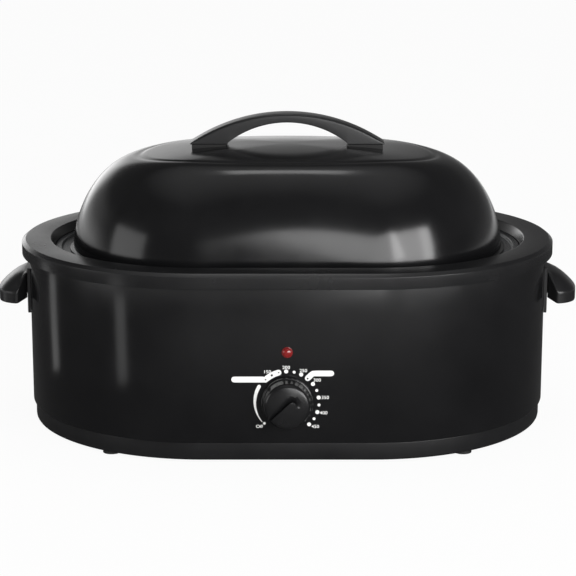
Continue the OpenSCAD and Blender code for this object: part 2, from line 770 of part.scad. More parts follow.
module grip_form(d) {
    intersection() {
        translate([half_l, grip_l, 0]) rotate([90, 0, 0]) linear_extrude(height = 2 * grip_l)
            grip_profile(d);
        translate([0, 0, grip_bottom_z - d - 1]) linear_extrude(height = grip_top_z) grip_plan(d);
    }
}

module handle_grip(side) {
    color("black") mirror([side > 0 ? 0 : 1, 0, 0]) difference() {
        grip_form(0);
        // room for the body and its bracket
        oval_plate(grip_back, 0, rim_top);
        // the hollow underside, which leaves a middle rib and the screws' bosses
        difference() {
            grip_form(grip_wall);
            oval_plate(grip_back + grip_wall, 0, rim_top);
            translate([half_l, -grip_wall / 2, grip_bottom_z + 4])
                cube([grip_reach, grip_wall, grip_top_z - grip_bottom_z]);
            at_grip_screws(1) cylinder(r = grip_boss_r, h = grip_back + grip_boss_l);
        }
        at_grip_screws(1) translate([0, 0, -8])
            cylinder(r = screw_r + shaft_clearance, h = 8 + grip_back + grip_boss_l - 1.5);
    }
}

module left_handle_grip() { handle_grip(-1); }
module right_handle_grip() { handle_grip(1); }

module handle_screws() {
    color("silver") for (side = [-1, 1]) at_grip_screws(side)
        translate([0, 0, grip_screw_back]) screw(grip_back + 5 - grip_screw_back);
}

// ---------------------------------------------------------------- controls

plate_y = -half_d + sheet_t + 15;
stat_size = [38, 15, 32];
bushing_r = shaft_r + 1.6;
nut_h = 3;

module thermostat() {
    color("ivory") difference() {
        union() {
            translate([-stat_size[0] / 2, plate_y + 1.5 + seat_gap, dial_z - stat_size[2] / 2])
                cube(stat_size);
            y_rod(0, dial_z, plate_y - 8, plate_y + 4, bushing_r);
            // blade terminals
            for (s = [-1, 1]) translate([s * 10 - 3, plate_y + 8, dial_z + stat_size[2] / 2 - 1])
                cube([6, 0.8, 9]);
        }
        y_rod(0, dial_z, plate_y - 9, plate_y + 12, shaft_r + shaft_clearance);
    }
}

// The bracket's two feet stand on the straight part of the well's wall.
stat_plate_t = 1.5;
stat_half_w = 26;
stat_foot_w = 8;
stat_foot_z = max(dial_z, well_floor + well_r + 3);
stat_foot_h = 20;
stat_below = 20;
module thermostat_bracket() {
    foot_z = stat_foot_z + stat_foot_h;
    foot_y = front_y(well_wall + well_t - (seat_z - foot_z) * tan(pan_draft), 0) - seat_gap;
    color("silver") difference() {
        union() {
            translate([-stat_half_w, plate_y, dial_z - stat_below])
                cube([2 * stat_half_w, stat_plate_t, foot_z - dial_z + stat_below]);
            for (s = [0, 1]) mirror([s, 0, 0]) {
                translate([stat_half_w - stat_plate_t, plate_y, stat_foot_z])
                    cube([stat_plate_t, foot_y - plate_y, stat_foot_h]);
                translate([stat_half_w - stat_plate_t, foot_y - stat_plate_t, stat_foot_z])
                    cube([stat_foot_w + stat_plate_t, stat_plate_t, stat_foot_h]);
            }
        }
        y_rod(0, dial_z, plate_y - 1, plate_y + 3, bushing_r + screw_clearance);
    }
}

module thermostat_nut() {
    color("gold") difference() {
        y_rod(0, dial_z, plate_y - seat_gap - nut_h, plate_y - seat_gap, bushing_r + 3, $fn = 6);
        y_rod(0, dial_z, plate_y - nut_h - 2, plate_y + 1, bushing_r + shaft_clearance);
    }
}

knob_gap = 1.2;
knob_back = -half_d - knob_gap;
knob_front = -half_d - knob_reach;
// Plastic left over the shaft's end, more than the scoop is deep
shaft_cover = 10.5;
shaft_front = knob_front + shaft_cover;
shaft_flat = 0.75 * shaft_r;
shaft_flat_l = knob_back - shaft_front - 2;

module thermostat_shaft() {
    color("silver") difference() {
        y_rod(0, dial_z, shaft_front, plate_y + 11, shaft_r);
        translate([-shaft_r, shaft_front - 1, dial_z + shaft_flat])
            cube([2 * shaft_r, shaft_flat_l + 1, shaft_r]);
    }
}

// The knob is drawn in the off position. Its mark points down to the left, seen from the front.
off_angle = 134;
knob_skirt_h = 4;
knob_taper = 1.2;
knob_bevel = 1.5;
knob_h = knob_reach - knob_gap;
nose_r = 3;
// Scoop beside the pointer bar: depth at the bar, depth at the rim and place of the bar's edge
scoop_depth = 5.5;
scoop_rim_depth = 1;
scoop_edge = 2.5;
scoop_end_r = 8;
bar_end_r = 5.5;

// Plan of the scoop with the mark along +X: all that lies beyond the bar's edge, and a groove that
// runs round the bar's end
groove_start = 215;
groove_steps = 12;
function arc_points(c, r, a0, a1) = [for (i = [0 : groove_steps])
    let (a = a0 + (a1 - a0) * i / groove_steps) [c[0] + r * cos(a), c[1] + r * sin(a)]];
module scoop_plan() {
    c = [-bar_end_r / 2, scoop_edge - bar_end_r];
    polygon(concat([[2 * knob_r, scoop_edge]], arc_points(c, bar_end_r, 90, groove_start),
        arc_points(c, scoop_end_r, groove_start, 180 - asin(bar_end_r / scoop_end_r)),
        [[-knob_r - 2, scoop_edge], [-knob_r - 2, 2 * knob_r], [2 * knob_r, 2 * knob_r]]));
}

module control_knob() {
    scoop_slope = atan((scoop_depth - scoop_rim_depth) / (knob_r - scoop_edge));
    color("black") difference() {
        translate([0, knob_back, dial_z]) rotate([90, 0, 0]) difference() {
            union() {
                cylinder(r1 = knob_skirt_r, r2 = knob_skirt_r - 0.8, h = knob_skirt_h);
                rotate([0, 0, 90 + off_angle]) translate([knob_skirt_r - 1.6, 0, 0])
                    cylinder(r = nose_r, h = knob_skirt_h + 0.5);
                cylinder(r1 = knob_r + knob_taper, r2 = knob_r - knob_taper, h = knob_h - knob_bevel);
                translate([0, 0, knob_h - knob_bevel])
                    cylinder(r1 = knob_r - knob_taper, r2 = knob_r - knob_taper - knob_bevel,
                        h = knob_bevel);
            }
            rotate([0, 0, 90 + off_angle]) mirror([0, 1, 0]) intersection() {
                translate([0, 0, knob_skirt_h + 1]) linear_extrude(height = knob_h) scoop_plan();
                translate([0, scoop_edge, knob_h - scoop_depth]) rotate([scoop_slope, 0, 0])
                    translate([-2 * knob_r, -knob_r, 0]) cube([4 * knob_r, 3 * knob_r, knob_h]);
            }
            // hollow behind the skirt
            difference() {
                translate([0, 0, -1]) cylinder(r = knob_r - 3, h = 7);
                translate([0, 0, -2]) cylinder(r = shaft_r + 2.5, h = 9);
            }
        }
        difference() {
            y_rod(0, dial_z, shaft_front - 0.5, knob_back + 1, shaft_r + shaft_clearance);
            translate([-knob_r, shaft_front - 1, dial_z + shaft_flat + shaft_clearance])
                cube([2 * knob_r, shaft_flat_l + 1 - seat_gap, shaft_r]);
        }
    }
}

lens_dome_h = 3.4;
lens_sphere_r = (lens_r * lens_r + lens_dome_h * lens_dome_h) / (2 * lens_dome_h);
module indicator_lens() {
    color("darkred") {
        translate([0, -half_d - seat_gap, lamp_z]) rotate([90, 0, 0]) {
            cylinder(r = lens_r, h = 1);
            intersection() {
                translate([0, 0, 1 + lens_dome_h - lens_sphere_r]) sphere(r = lens_sphere_r);
                translate([0, 0, 0.5]) cylinder(r = lens_r, h = 2 * lens_dome_h);
            }
        }
        y_rod(0, lamp_z, -half_d - 1, -half_d + 8, lamp_body_r);
    }
}

module indicator_lamp() {
    color("ivory") {
        y_rod(0, lamp_z, -half_d + 8 + seat_gap, -half_d + 22, lamp_body_r - 1);
        // push-on ring that holds the lens behind the wall
        difference() {
            y_rod(0, lamp_z, -half_d + sheet_t + seat_gap, -half_d + sheet_t + 2, lamp_body_r + 3);
            y_rod(0, lamp_z, -half_d, -half_d + 8, lamp_body_r + shaft_clearance);
        }
    }
}

// ---------------------------------------------------------------- wiring

block_size = [34, 18, 14];
module terminal_block() {
    color("ivory") difference() {
        translate([gland_x - block_size[0] / 2 - 30, half_d - 62, plate_z + sheet_t + seat_gap])
            cube(block_size);
        for (k = [-1, 0, 1]) translate([gland_x - 30 + 10 * k, half_d - 53, plate_z + sheet_t + 6])
            cylinder(r = 2.4, h = 12);
    }
}

fuse_r = 4;
fuse_l = 24;
fuse_lead_r = 0.8;
fuse_lead_l = 14;
fuse_tab = [8, 26, 0.8];
module thermal_fuse() {
    top = well_floor - seat_gap;
    color("silver") {
        translate([-fuse_l / 2, 0, top - fuse_r]) rotate([0, 90, 0]) cylinder(r = fuse_r, h = fuse_l);
        translate([-fuse_l / 2 - fuse_lead_l, 0, top - fuse_r]) rotate([0, 90, 0])
            cylinder(r = fuse_lead_r, h = fuse_l + 2 * fuse_lead_l);
        translate([-fuse_tab[0] / 2, -fuse_tab[1] / 2, top - fuse_tab[2]]) cube(fuse_tab);
    }
}

module cord_gland() {
    color("black") difference() {
        union() {
            y_rod(gland_x, gland_z, half_d - 14, half_d + 2, gland_body_r);
            translate([gland_x, half_d + gland_reach, gland_z]) rotate([90, 0, 0])
                cylinder(r1 = gland_body_r + 0.5, r2 = gland_body_r + 3, h = gland_reach - seat_gap);
        }
        y_rod(gland_x, gland_z, half_d - 20, half_d + gland_reach + 1, gland_bore_r);
    }
}

module gland_nut() {
    wall_in = -front_y(-sheet_t, gland_x);
    color("black") difference() {
        y_rod(gland_x, gland_z, wall_in - seat_gap - 4, wall_in - seat_gap, gland_body_r + 3.5,
            $fn = 6);
        y_rod(gland_x, gland_z, wall_in - 7, wall_in + 1, gland_body_r + shaft_clearance);
    }
}

// ---------------------------------------------------------------- assembly

outer_body();
top_rim();
rim_screws();
base_ring();
bottom_plate();
base_screws();
feet();
heating_well();
heating_band();
band_clips();
insulation_blanket();
cooking_pan();
roasting_rack();
lid_shell();
lid_handle();
lid_handle_gaskets();
lid_handle_screws();
left_handle_bracket();
right_handle_bracket();
left_handle_grip();
right_handle_grip();
handle_screws();
thermostat();
thermostat_bracket();
thermostat_nut();
thermostat_shaft();
control_knob();
indicator_lens();
indicator_lamp();
terminal_block();
thermal_fuse();
cord_gland();
gland_nut();
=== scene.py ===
# %% [markdown]
# # An oval roaster oven
#
# The sheet-metal and moulded pieces of a countertop roaster oven are dressed here over a packed
# CAD frame, which says where each piece goes. Each step has a note on what the piece is, how it
# could be made, and why it is made this way.

# %% Load the fixed frame
import math

import bpy
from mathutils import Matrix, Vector


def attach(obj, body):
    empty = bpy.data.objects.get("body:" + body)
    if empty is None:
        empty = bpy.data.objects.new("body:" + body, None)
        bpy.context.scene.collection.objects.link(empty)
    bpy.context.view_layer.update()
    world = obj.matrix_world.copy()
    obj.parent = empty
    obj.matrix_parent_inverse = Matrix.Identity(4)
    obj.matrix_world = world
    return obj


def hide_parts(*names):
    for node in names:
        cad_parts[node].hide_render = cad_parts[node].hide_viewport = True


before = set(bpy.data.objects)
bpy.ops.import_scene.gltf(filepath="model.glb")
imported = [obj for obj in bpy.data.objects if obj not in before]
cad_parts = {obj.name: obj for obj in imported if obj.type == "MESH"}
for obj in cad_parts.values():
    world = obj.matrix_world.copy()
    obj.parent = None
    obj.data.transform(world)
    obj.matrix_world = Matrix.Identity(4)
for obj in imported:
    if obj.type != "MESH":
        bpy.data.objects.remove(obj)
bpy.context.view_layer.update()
scene = bpy.context.scene

# %% [markdown]
# ## Sizes
#
# The plan of the roaster is an oval with half-round ends. Every ring of it is an offset from the
# painted wall's outer face, so one pair of numbers places them all. The sizes are in millimetres,
# as on a drawing, and become metres where a mesh is made.

# %% Sizes of the plan and heights above the table, in millimetres
MM = 0.001
END_R = 186.0  # radius of the round ends
END_X = 83.0  # from the middle to the centre of each round end
BODY_END = END_X + END_R
FRONT_Y = -END_R  # the flat front
BASE_BOTTOM, BASE_TOP, WALL_TOP = 3.0, 21.0, 188.7
RIM_BOTTOM, RIM_TOP = 176.5, 191.5
LIP_TOP, LEDGE_TOP = 182.5, 179.7
LID_Z = 180.0  # underside of the lid's flange
DIAL_Z, LAMP_Z = 63.0, 113.0
SEAT = 0.3  # room between two pieces that sit on each other
ROUND_STEPS = 180  # faces round the two ends together
print("plan:", 2 * BODY_END, "x", 2 * END_R, "mm")

# %% [markdown]
# ## Camera
#
# The photograph looks at the front from a little above. The camera stands about two metres away,
# as a photographer would with a portrait lens, and is tilted down so that no lens shift is needed.

# %% The camera
CAMERA_PLACE = (0.0007, -2.0084, 0.6061)  # metres
CAMERA_PITCH = 13.2567  # degrees below the horizon
CAMERA_LENS, SENSOR_WIDTH = 122.3, 36.0  # millimetres

camera_data = bpy.data.cameras.new("camera")
camera_data.lens = CAMERA_LENS
camera_data.sensor_width = SENSOR_WIDTH
camera = bpy.data.objects.new("camera", camera_data)
camera.location = CAMERA_PLACE
camera.rotation_euler = (math.radians(90.0 - CAMERA_PITCH), 0.0, 0.0)
scene.collection.objects.link(camera)
scene.camera = camera
scene.view_settings.view_transform = "Standard"
print("camera lens", camera_data.lens, "mm")

# %% [markdown]
# ## Small tools for materials
#
# Colours are written as they look on a screen, and shaders want them linear, so one function
# turns them. Another adds a node, sets it and links it in one line. Patterns are given by the
# real size of their features.


# %% Colour and node helpers
def linear(hex_colour):
    """Linear RGBA of a screen colour such as '1a1b1c'."""
    values = [int(hex_colour[i : i + 2], 16) / 255 for i in (0, 2, 4)]
    return tuple(v / 12.92 if v <= 0.04045 else ((v + 0.055) / 1.055) ** 2.4 for v in values) + (1.0,)


def add_node(tree, kind, inputs=(), **settings):
    """Adds a node. Inputs go by name or in order: a socket is linked, any other value is set."""
    made = tree.nodes.new(kind)
    for key, value in settings.items():
        setattr(made, key, value)
    for key, value in inputs.items() if isinstance(inputs, dict) else enumerate(inputs):
        if isinstance(value, bpy.types.NodeSocket):
            tree.links.new(value, made.inputs[key])
        else:
            made.inputs[key].default_value = value
    return made


def mix(a, b, t):
    """The value a share t of the way from a to b."""
    return a + (b - a) * t


def per_metre(feature_mm):
    """Scale of a noise texture whose features are that many millimetres across."""
    return 1000.0 / feature_mm


def new_material(name):
    made = bpy.data.materials.new(name)
    made.use_nodes = True
    made.node_tree.nodes.clear()
    return made, made.node_tree


# %% [markdown]
# ## Finishes
#
# Most of what shows is black, and black pieces differ only in how they shine. One recipe makes
# them all: a colour that drifts a little, a roughness that drifts a little, and one bump. The bump
# is the real waviness of enamel, or the spark-eroded grain of a mould. That grain is about a tenth
# of a millimetre on the real pieces, and is drawn at half a millimetre or more so that it shows.


# %% The recipe for solid finishes
NOISE_LOW, NOISE_HIGH = 0.3, 0.7  # nearly all of a noise's values lie between these


def solid_finish(name, dark, light, roughness, bump, mottle_mm=60.0, metallic=0.0, stretch=None):
    """Two screen colours, a range of roughness, and bump: feature size and height in mm."""
    made, tree = new_material(name)
    place = add_node(tree, "ShaderNodeTexCoord").outputs["Object"]
    if stretch:
        place = add_node(tree, "ShaderNodeMapping", {"Vector": place, "Scale": stretch}).outputs["Vector"]
    drift = add_node(tree, "ShaderNodeTexNoise", {"Vector": place, "Scale": per_metre(mottle_mm),
                                                  "Detail": 3.0, "Roughness": 0.6}).outputs["Fac"]
    share = add_node(tree, "ShaderNodeMapRange", (drift, NOISE_LOW, NOISE_HIGH, 0.0, 1.0)).outputs[0]
    colour = add_node(tree, "ShaderNodeMix", {"Factor": share, "A": linear(dark), "B": linear(light)},
                      data_type="RGBA").outputs[2]
    shine = add_node(tree, "ShaderNodeMapRange", (drift, NOISE_LOW, NOISE_HIGH, *roughness)).outputs[0]
    feature_mm, height_mm = bump
    grain = add_node(tree, "ShaderNodeTexNoise", {"Vector": place, "Scale": per_metre(feature_mm),
                                                  "Detail": 2.0}).outputs["Fac"]
    relief = add_node(tree, "ShaderNodeBump", {"Height": grain, "Distance": height_mm * MM,
                                               "Strength": 1.0}).outputs["Normal"]
    shader = add_node(tree, "ShaderNodeBsdfPrincipled", {
        "Base Color": colour, "Roughness": shine, "Metallic": metallic, "Normal": relief})
    add_node(tree, "ShaderNodeOutputMaterial", {"Surface": shader.outputs[0]})
    return made


# %% The black finishes
# Glass fired on steel: a deep, even gloss with the slight waviness of an orange's skin.
ENAMEL = solid_finish("gloss_black_enamel", "101011", "141415", (0.14, 0.19), (7.0, 0.004))
# Compression-moulded phenolic: satin, because its mould was spark-eroded.
PHENOLIC = solid_finish("satin_black_phenolic", "161617", "1a1a1b", (0.27, 0.35), (0.5, 0.010))
# Injection-moulded ring: a shallower grain, so its edges catch more light.
RIM_PLASTIC = solid_finish("satin_black_rim", "151516", "19191a", (0.22, 0.28), (0.6, 0.006))
# The knob's mould is polished, which gives the cap its clear streak.
KNOB_PLASTIC = solid_finish("polished_black_knob", "131314", "171718", (0.22, 0.28), (0.9, 0.004))
# Porcelain enamel with grey flecks, over a cover coat that flows into soft waves.
PAN_ENAMEL = solid_finish("dark_porcelain_enamel", "2b2c2e", "37383a", (0.22, 0.32), (5.0, 0.01), 1.2)
# Moulded rubber: matt, as soft feet and gaskets are.
RUBBER = solid_finish("moulded_rubber", "161616", "1c1c1c", (0.62, 0.75), (0.4, 0.015))
print("black finishes:", len(bpy.data.materials))

# %% [markdown]
# Inside are bare metals, whose colour is that of their reflections, and pale insulators. The
# glass-fibre blanket needs its matted strands, so its noise is stretched and given more height.

# %% The inner finishes and the print
# Hot-dipped sheet: a soft grey sheen with faint crystals.
ALUMINISED = solid_finish("aluminised_steel", "8e9092", "a5a7a9", (0.38, 0.50), (1.5, 0.01), 6.0, 1.0)
# Electroplated zinc: brighter, and cloudy where the bath was uneven.
ZINC = solid_finish("zinc_plated_steel", "9a9c9f", "b0b2b4", (0.28, 0.38), (0.8, 0.006), 4.0, 1.0)
# Drawn wire under nickel and chrome: nearly a mirror.
RACK_CHROME = solid_finish("nickel_chrome_wire", "b9bbbe", "c6c8ca", (0.10, 0.16), (2.0, 0.004), 8.0, 1.0)
# Turned brass, a little dull from handling.
BRASS = solid_finish("plain_brass", "9c7a3c", "b08c4a", (0.30, 0.40), (0.6, 0.006), 3.0, 1.0)
# Heat-resistant moulding: ivory, with hardly any shine.
IVORY = solid_finish("ivory_heat_resistant_moulding", "bdb39a", "cbc2aa", (0.48, 0.58), (0.5, 0.01), 9.0)
# Pressed mica flakes: brownish patches, each with a shine of its own.
MICA = solid_finish("mica_band", "8f8063", "b3a483", (0.45, 0.60), (3.0, 0.05), 5.0)
# Needled glass wool: a matt nap of strands.
GLASS_FIBRE = solid_finish("glass_fibre_blanket", "b3a884", "d2c8a6", (0.85, 0.95), (1.6, 0.6), 7.0,
                           stretch=(0.35, 0.35, 1.6))
# Pad-printed ink: an even, half-matt white.
PRINT = solid_finish("white_pad_print", "e8e8e6", "f0f0ee", (0.42, 0.50), (0.3, 0.003), 3.0)
print("finishes:", len(bpy.data.materials))


# %% [markdown]
# The indicator's lens is a clear red moulding. Light enters it and comes out again nearby, and a weak
# emission adds a painted glow on top, as if the lamp behind it were lit.


# %% The lens
def lens_finish():
    made, tree = new_material("dark_red_lens")
    place = add_node(tree, "ShaderNodeTexCoord").outputs["Object"]
    drift = add_node(tree, "ShaderNodeTexNoise", {"Vector": place, "Scale": per_metre(2.5)}).outputs["Fac"]
    colour = add_node(tree, "ShaderNodeMix", {"Factor": drift, "A": linear("5a1212"),
                                              "B": linear("8a2222")}, data_type="RGBA")
    shader = add_node(tree, "ShaderNodeBsdfPrincipled", {
        "Base Color": colour.outputs[2], "Roughness": 0.12, "Coat Weight": 0.6,
        "Subsurface Weight": 0.15, "Subsurface Scale": 0.002, "Subsurface Radius": (1.0, 0.1, 0.1),
        # the emission colour and strength paint a faint glow: the lamp behind the lens is not lit
        "Emission Color": linear("7a1a18"), "Emission Strength": 0.12})
    add_node(tree, "ShaderNodeOutputMaterial", {"Surface": shader.outputs[0]})
    return made


LENS_RED = lens_finish()
print("finishes:", len(bpy.data.materials))

# %% [markdown]
# ## Modelling tools
#
# Almost every ring here is one profile carried round the oval. The profile is drawn as a loop,
# spun once round, and the two halves of the round are then pulled apart, which leaves straight
# sides between two half-round ends. It is how such an oval is laid out by hand, and it keeps the
# ends truly round.


# %% Selection and edit helpers
def mode(name):
    bpy.ops.object.mode_set(mode=name)


def add_primitive(name, operator, **settings):
    """Adds a primitive with nothing else selected, and names it."""
    bpy.ops.object.select_all(action="DESELECT")
    operator(**settings)
    obj = bpy.context.object
    obj.name = obj.data.name = name
    return obj


def only(obj):
    """Selects one object and makes it active."""
    bpy.ops.object.select_all(action="DESELECT")
    obj.select_set(True)
    bpy.context.view_layer.objects.active = obj


def in_edit(obj, *steps):
    """Runs edit-mode steps with everything selected."""
    only(obj)
    mode("EDIT")
    bpy.ops.mesh.select_all(action="SELECT")
    for step in steps:
        step()
    mode("OBJECT")


def pick(obj, wanted):
    """Selects in edit mode the points that wanted(point) names."""
    only(obj)
    mode("EDIT")
    bpy.ops.mesh.select_mode(type="VERT")
    bpy.ops.mesh.select_all(action="DESELECT")
    mode("OBJECT")
    for point in obj.data.vertices:
        point.select = bool(wanted(point.co))
    mode("EDIT")


def tidy_mesh(obj, gap=1e-6):
    """Merges doubles and turns every face outwards."""
    in_edit(obj, lambda: bpy.ops.mesh.remove_doubles(threshold=gap),
            lambda: bpy.ops.mesh.normals_make_consistent(inside=False))


def finish_modifier(obj, kind, name, **settings):
    only(obj)
    made = obj.modifiers.new(name, kind)
    for key, value in settings.items():
        setattr(made, key, value)
    bpy.ops.object.modifier_apply(modifier=made.name)


def smooth(obj, angle=32.0):
    only(obj)
    bpy.ops.object.shade_smooth_by_angle(angle=math.radians(angle))


def dress(obj, material, body, slot, *replaced):
    """Gives a finished piece its material, the body it rides on and what it stands for."""
    obj.data.materials.clear()
    obj.data.materials.append(material)
    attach(obj, body)
    if replaced:
        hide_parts(*replaced)
    print(obj.name, len(obj.data.polygons), "faces")


def start_loop(name, points):
    """A closed loop of points: a circle primitive whose points are moved to their places, in mm."""
    obj = add_primitive(name, bpy.ops.mesh.primitive_circle_add, vertices=len(points), radius=0.01)
    for vertex, point in zip(obj.data.vertices, points):
        vertex.co = Vector(point) * MM
    return obj


def joined(name, pieces):
    bpy.ops.object.select_all(action="DESELECT")
    for piece in pieces:
        piece.select_set(True)
    bpy.context.view_layer.objects.active = pieces[0]
    bpy.ops.object.join()
    obj = bpy.context.object
    obj.name = obj.data.name = name
    return obj


# %% Profiles with rounded corners, and the oval sweep
CORNER_SHARE = 0.48  # a rounded corner takes up less than half of either side


def rounded(corners, steps=5):
    """Closed profile from corners (offset, height, radius), each radius drawn as a small curve."""
    out = []
    for i, (x, z, radius) in enumerate(corners):
        if radius <= 0:
            out.append((x, z))
            continue
        here = Vector((x, z))
        before = Vector(corners[i - 1][:2]) - here
        after = Vector(corners[(i + 1) % len(corners)][:2]) - here
        reach = min(radius / math.tan(before.angle(after) / 2),
                    CORNER_SHARE * before.length, CORNER_SHARE * after.length)
        a, b = here + before.normalized() * reach, here + after.normalized() * reach
        for t in [k / steps for k in range(steps + 1)]:
            out.append(tuple((1 - t) ** 2 * a + 2 * t * (1 - t) * here + t * t * b))
    return out


def open_loop(obj):
    """Deletes the edge from a loop's last point to its first."""
    ends = {0, len(obj.data.vertices) - 1}
    only(obj)
    mode("EDIT")
    bpy.ops.mesh.select_mode(type="EDGE")
    bpy.ops.mesh.select_all(action="DESELECT")
    mode("OBJECT")
    for edge in obj.data.edges:
        edge.select = set(edge.vertices) == ends
    mode("EDIT")
    bpy.ops.mesh.delete(type="EDGE")
    mode("OBJECT")


def sweep_ring(name, profile, is_open=False):
    """Carries a profile of (offset, height) round the oval."""
    obj = start_loop(name, [(END_R + off, 0.0, z) for off, z in profile])
    if is_open:
        open_loop(obj)
    only(obj)
    mode("EDIT")
    bpy.ops.mesh.select_mode(type="VERT")
    bpy.ops.mesh.select_all(action="SELECT")
    # the profile starts half a step round, so that no column of points lies on the middle plane
    bpy.ops.transform.rotate(value=math.pi / ROUND_STEPS, orient_axis="Z", center_override=(0, 0, 0))
    bpy.ops.mesh.spin(steps=ROUND_STEPS, angle=2 * math.pi, center=(0, 0, 0), axis=(0, 0, 1))
    bpy.ops.mesh.select_all(action="SELECT")
    bpy.ops.mesh.remove_doubles(threshold=2e-6)
    mode("OBJECT")
    pick(obj, lambda p: p.x > 0)
    bpy.ops.transform.translate(value=(2 * END_X * MM, 0, 0))
    mode("OBJECT")
    in_edit(obj, lambda: bpy.ops.transform.translate(value=(-END_X * MM, 0, 0)))
    if is_open:
        in_edit(obj, lambda: bpy.ops.mesh.fill_holes(sides=0))
    tidy_mesh(obj)
    return obj


# %% [markdown]
# ## The painted wall
#
# The wall is one strip of enamelled steel, bent to the oval and seamed at the back. It could be a
# thickened surface, but its turned-in foot is part of the same sheet, so the whole section is
# drawn and carried round. In this and the next sections, offsets are measured from the wall's
# outer face, and an offset below zero lies inside it.

# %% Outer body
SHEET_T, WALL_FOOT = 1.0, -20.0  # the sheet's thickness, and how far its foot is turned in
FOOT_TOP = BASE_TOP + SHEET_T
body_wall = sweep_ring("body_wall", rounded([
    (0.0, WALL_TOP, 0.3), (0.0, BASE_TOP, 1.2), (WALL_FOOT, BASE_TOP, 0.2),
    (WALL_FOOT, FOOT_TOP, 0.2), (-SHEET_T, FOOT_TOP, 0.5), (-SHEET_T, WALL_TOP, 0.3)], steps=3))
smooth(body_wall)
dress(body_wall, ENAMEL, "housing", "black_enamel", "outer_body")

# %% [markdown]
# ## Base ring and top rim
#
# Both are moulded rings. Light catches the rim on two fine edges, one on each side of a narrow
# chamfer between its flat top and its skirt, so those edges have radii of their own.

# %% Base ring
BASE_OUT, BASE_IN, BASE_T = -2.6, -24.6, 2.5  # outer and inner faces, and the moulding's wall
BASE_SEAT = BASE_TOP - SEAT
base = sweep_ring("base_moulding", rounded([
    (BASE_OUT, BASE_SEAT, 0.6), (BASE_OUT, BASE_BOTTOM, 2.2), (BASE_IN, BASE_BOTTOM, 0.4),
    (BASE_IN, BASE_BOTTOM + BASE_T, 0.4), (BASE_OUT - BASE_T, BASE_BOTTOM + BASE_T, 1.0),
    (BASE_OUT - BASE_T, BASE_SEAT - BASE_T, 0.5), (BASE_IN, BASE_SEAT - BASE_T, 0.4),
    (BASE_IN, BASE_SEAT, 0.4)], steps=4))
smooth(base)
dress(base, PHENOLIC, "housing", "black_plastic", "base_ring")

# %% Top rim
RIM_OUT, RIM_T = 7.5, 2.5  # the skirt's outer face, and the moulding's wall
CHAMFER_IN, CHAMFER_DOWN = 3.9, 3.1
TONGUE_OUT, TONGUE_IN, TONGUE_BOTTOM = -1.3, -3.3, 183.7  # the rib that holds the wall's edge
SLOPE_TOP, SLOPE_FOOT, FOOT_BOTTOM = -22.5, -26.5, 178.5  # the slope into the recess, and its foot
RIM_ROOF = RIM_TOP - RIM_T
rim = sweep_ring("rim_moulding", rounded([
    (RIM_OUT, RIM_TOP - CHAMFER_DOWN, 0.7), (RIM_OUT, RIM_BOTTOM, 0.6),
    (RIM_OUT - RIM_T, RIM_BOTTOM, 0.4), (RIM_OUT - RIM_T, RIM_ROOF, 0.3),
    (TONGUE_OUT, RIM_ROOF, 0.2), (TONGUE_OUT, TONGUE_BOTTOM, 0.2),
    (TONGUE_IN, TONGUE_BOTTOM, 0.2), (TONGUE_IN, RIM_ROOF, 0.2),
    (SLOPE_TOP + RIM_T, RIM_ROOF, 0.3), (SLOPE_FOOT + RIM_T, LIP_TOP - 1.0, 0.3),
    (SLOPE_FOOT + RIM_T, FOOT_BOTTOM, 0.2), (SLOPE_FOOT, FOOT_BOTTOM, 0.2), (SLOPE_FOOT, LIP_TOP, 1.0),
    (SLOPE_TOP, RIM_TOP, 1.2), (RIM_OUT - CHAMFER_IN, RIM_TOP, 0.7)], steps=5))
smooth(rim)
dress(rim, RIM_PLASTIC, "housing", "black_plastic", "top_rim")

# %% [markdown]
# ## The pan
#
# The pan is drawn from one sheet. Its lip is rolled outwards and hangs on the well's flange, and
# a ledge inside the lip carries the lid. The profile runs from the middle of the floor, up the
# inside, over the lip, and back under the floor, and the two small holes left in the middle are
# then filled.

# %% Cooking pan
PAN_FLOOR, PAN_T, PAN_LEAN = 47.7, 1.2, math.tan(math.radians(3.0))
PAN_FOOT_R, PAN_HOLE = 25.0, 3.0  # radius at the foot, and of the hole that is filled afterwards
FLOOR_RING = -120.0  # one more ring on the floor, so that no face spans all of it
LEDGE_IN, LEDGE_OUT, LIP_OUT = -47.0, -34.7, -27.0
LEDGE_FOOT, LEDGE_UNDER = LEDGE_TOP - 3.0, LEDGE_TOP - PAN_T
WALL_HEIGHTS = (LEDGE_FOOT, 150.0, 120.0, 95.0)


def pan_line(gap):
    """The pan's wall and floor, drawn in by gap from its outside, from the ledge down."""
    radius, low = PAN_FOOT_R - gap, PAN_FLOOR + gap
    turn = low + radius

    def wall(z):
        return LEDGE_IN - gap - (LEDGE_TOP - z) * PAN_LEAN

    centre = wall(turn) - radius
    foot = [(centre + radius * math.cos(a), turn + radius * math.sin(a))
            for a in [-math.radians(9 * k) for k in range(11)]]
    return [(wall(z), z) for z in WALL_HEIGHTS] + foot + [(FLOOR_RING, low), (PAN_HOLE - END_R, low)]


inside, outside = pan_line(PAN_T)[::-1], pan_line(0.0)
lip = rounded([
    (LEDGE_IN - PAN_T, LEDGE_FOOT, 0.0), (LEDGE_IN - PAN_T, LEDGE_TOP, 1.2), (LEDGE_OUT, LEDGE_TOP, 1.0),
    (LEDGE_OUT + 1.0, LIP_TOP, 1.2), (LIP_OUT, LIP_TOP, 1.9), (LIP_OUT - 0.2, LEDGE_UNDER + 0.1, 1.4),
    (LIP_OUT - 4.0, LEDGE_UNDER + 0.2, 0.4), (LIP_OUT - 6.0, LIP_TOP - 1.9, 0.6),
    (LIP_OUT - 7.0, LEDGE_UNDER, 0.6), (LEDGE_IN + 0.2, LEDGE_UNDER, 0.4),
    (LEDGE_IN, LEDGE_FOOT, 0.0)], steps=4)
pan = sweep_ring("pan_drawn", inside[:-1] + lip + outside[1:], is_open=True)
smooth(pan)
dress(pan, PAN_ENAMEL, "pan", "pan_enamel", "cooking_pan")

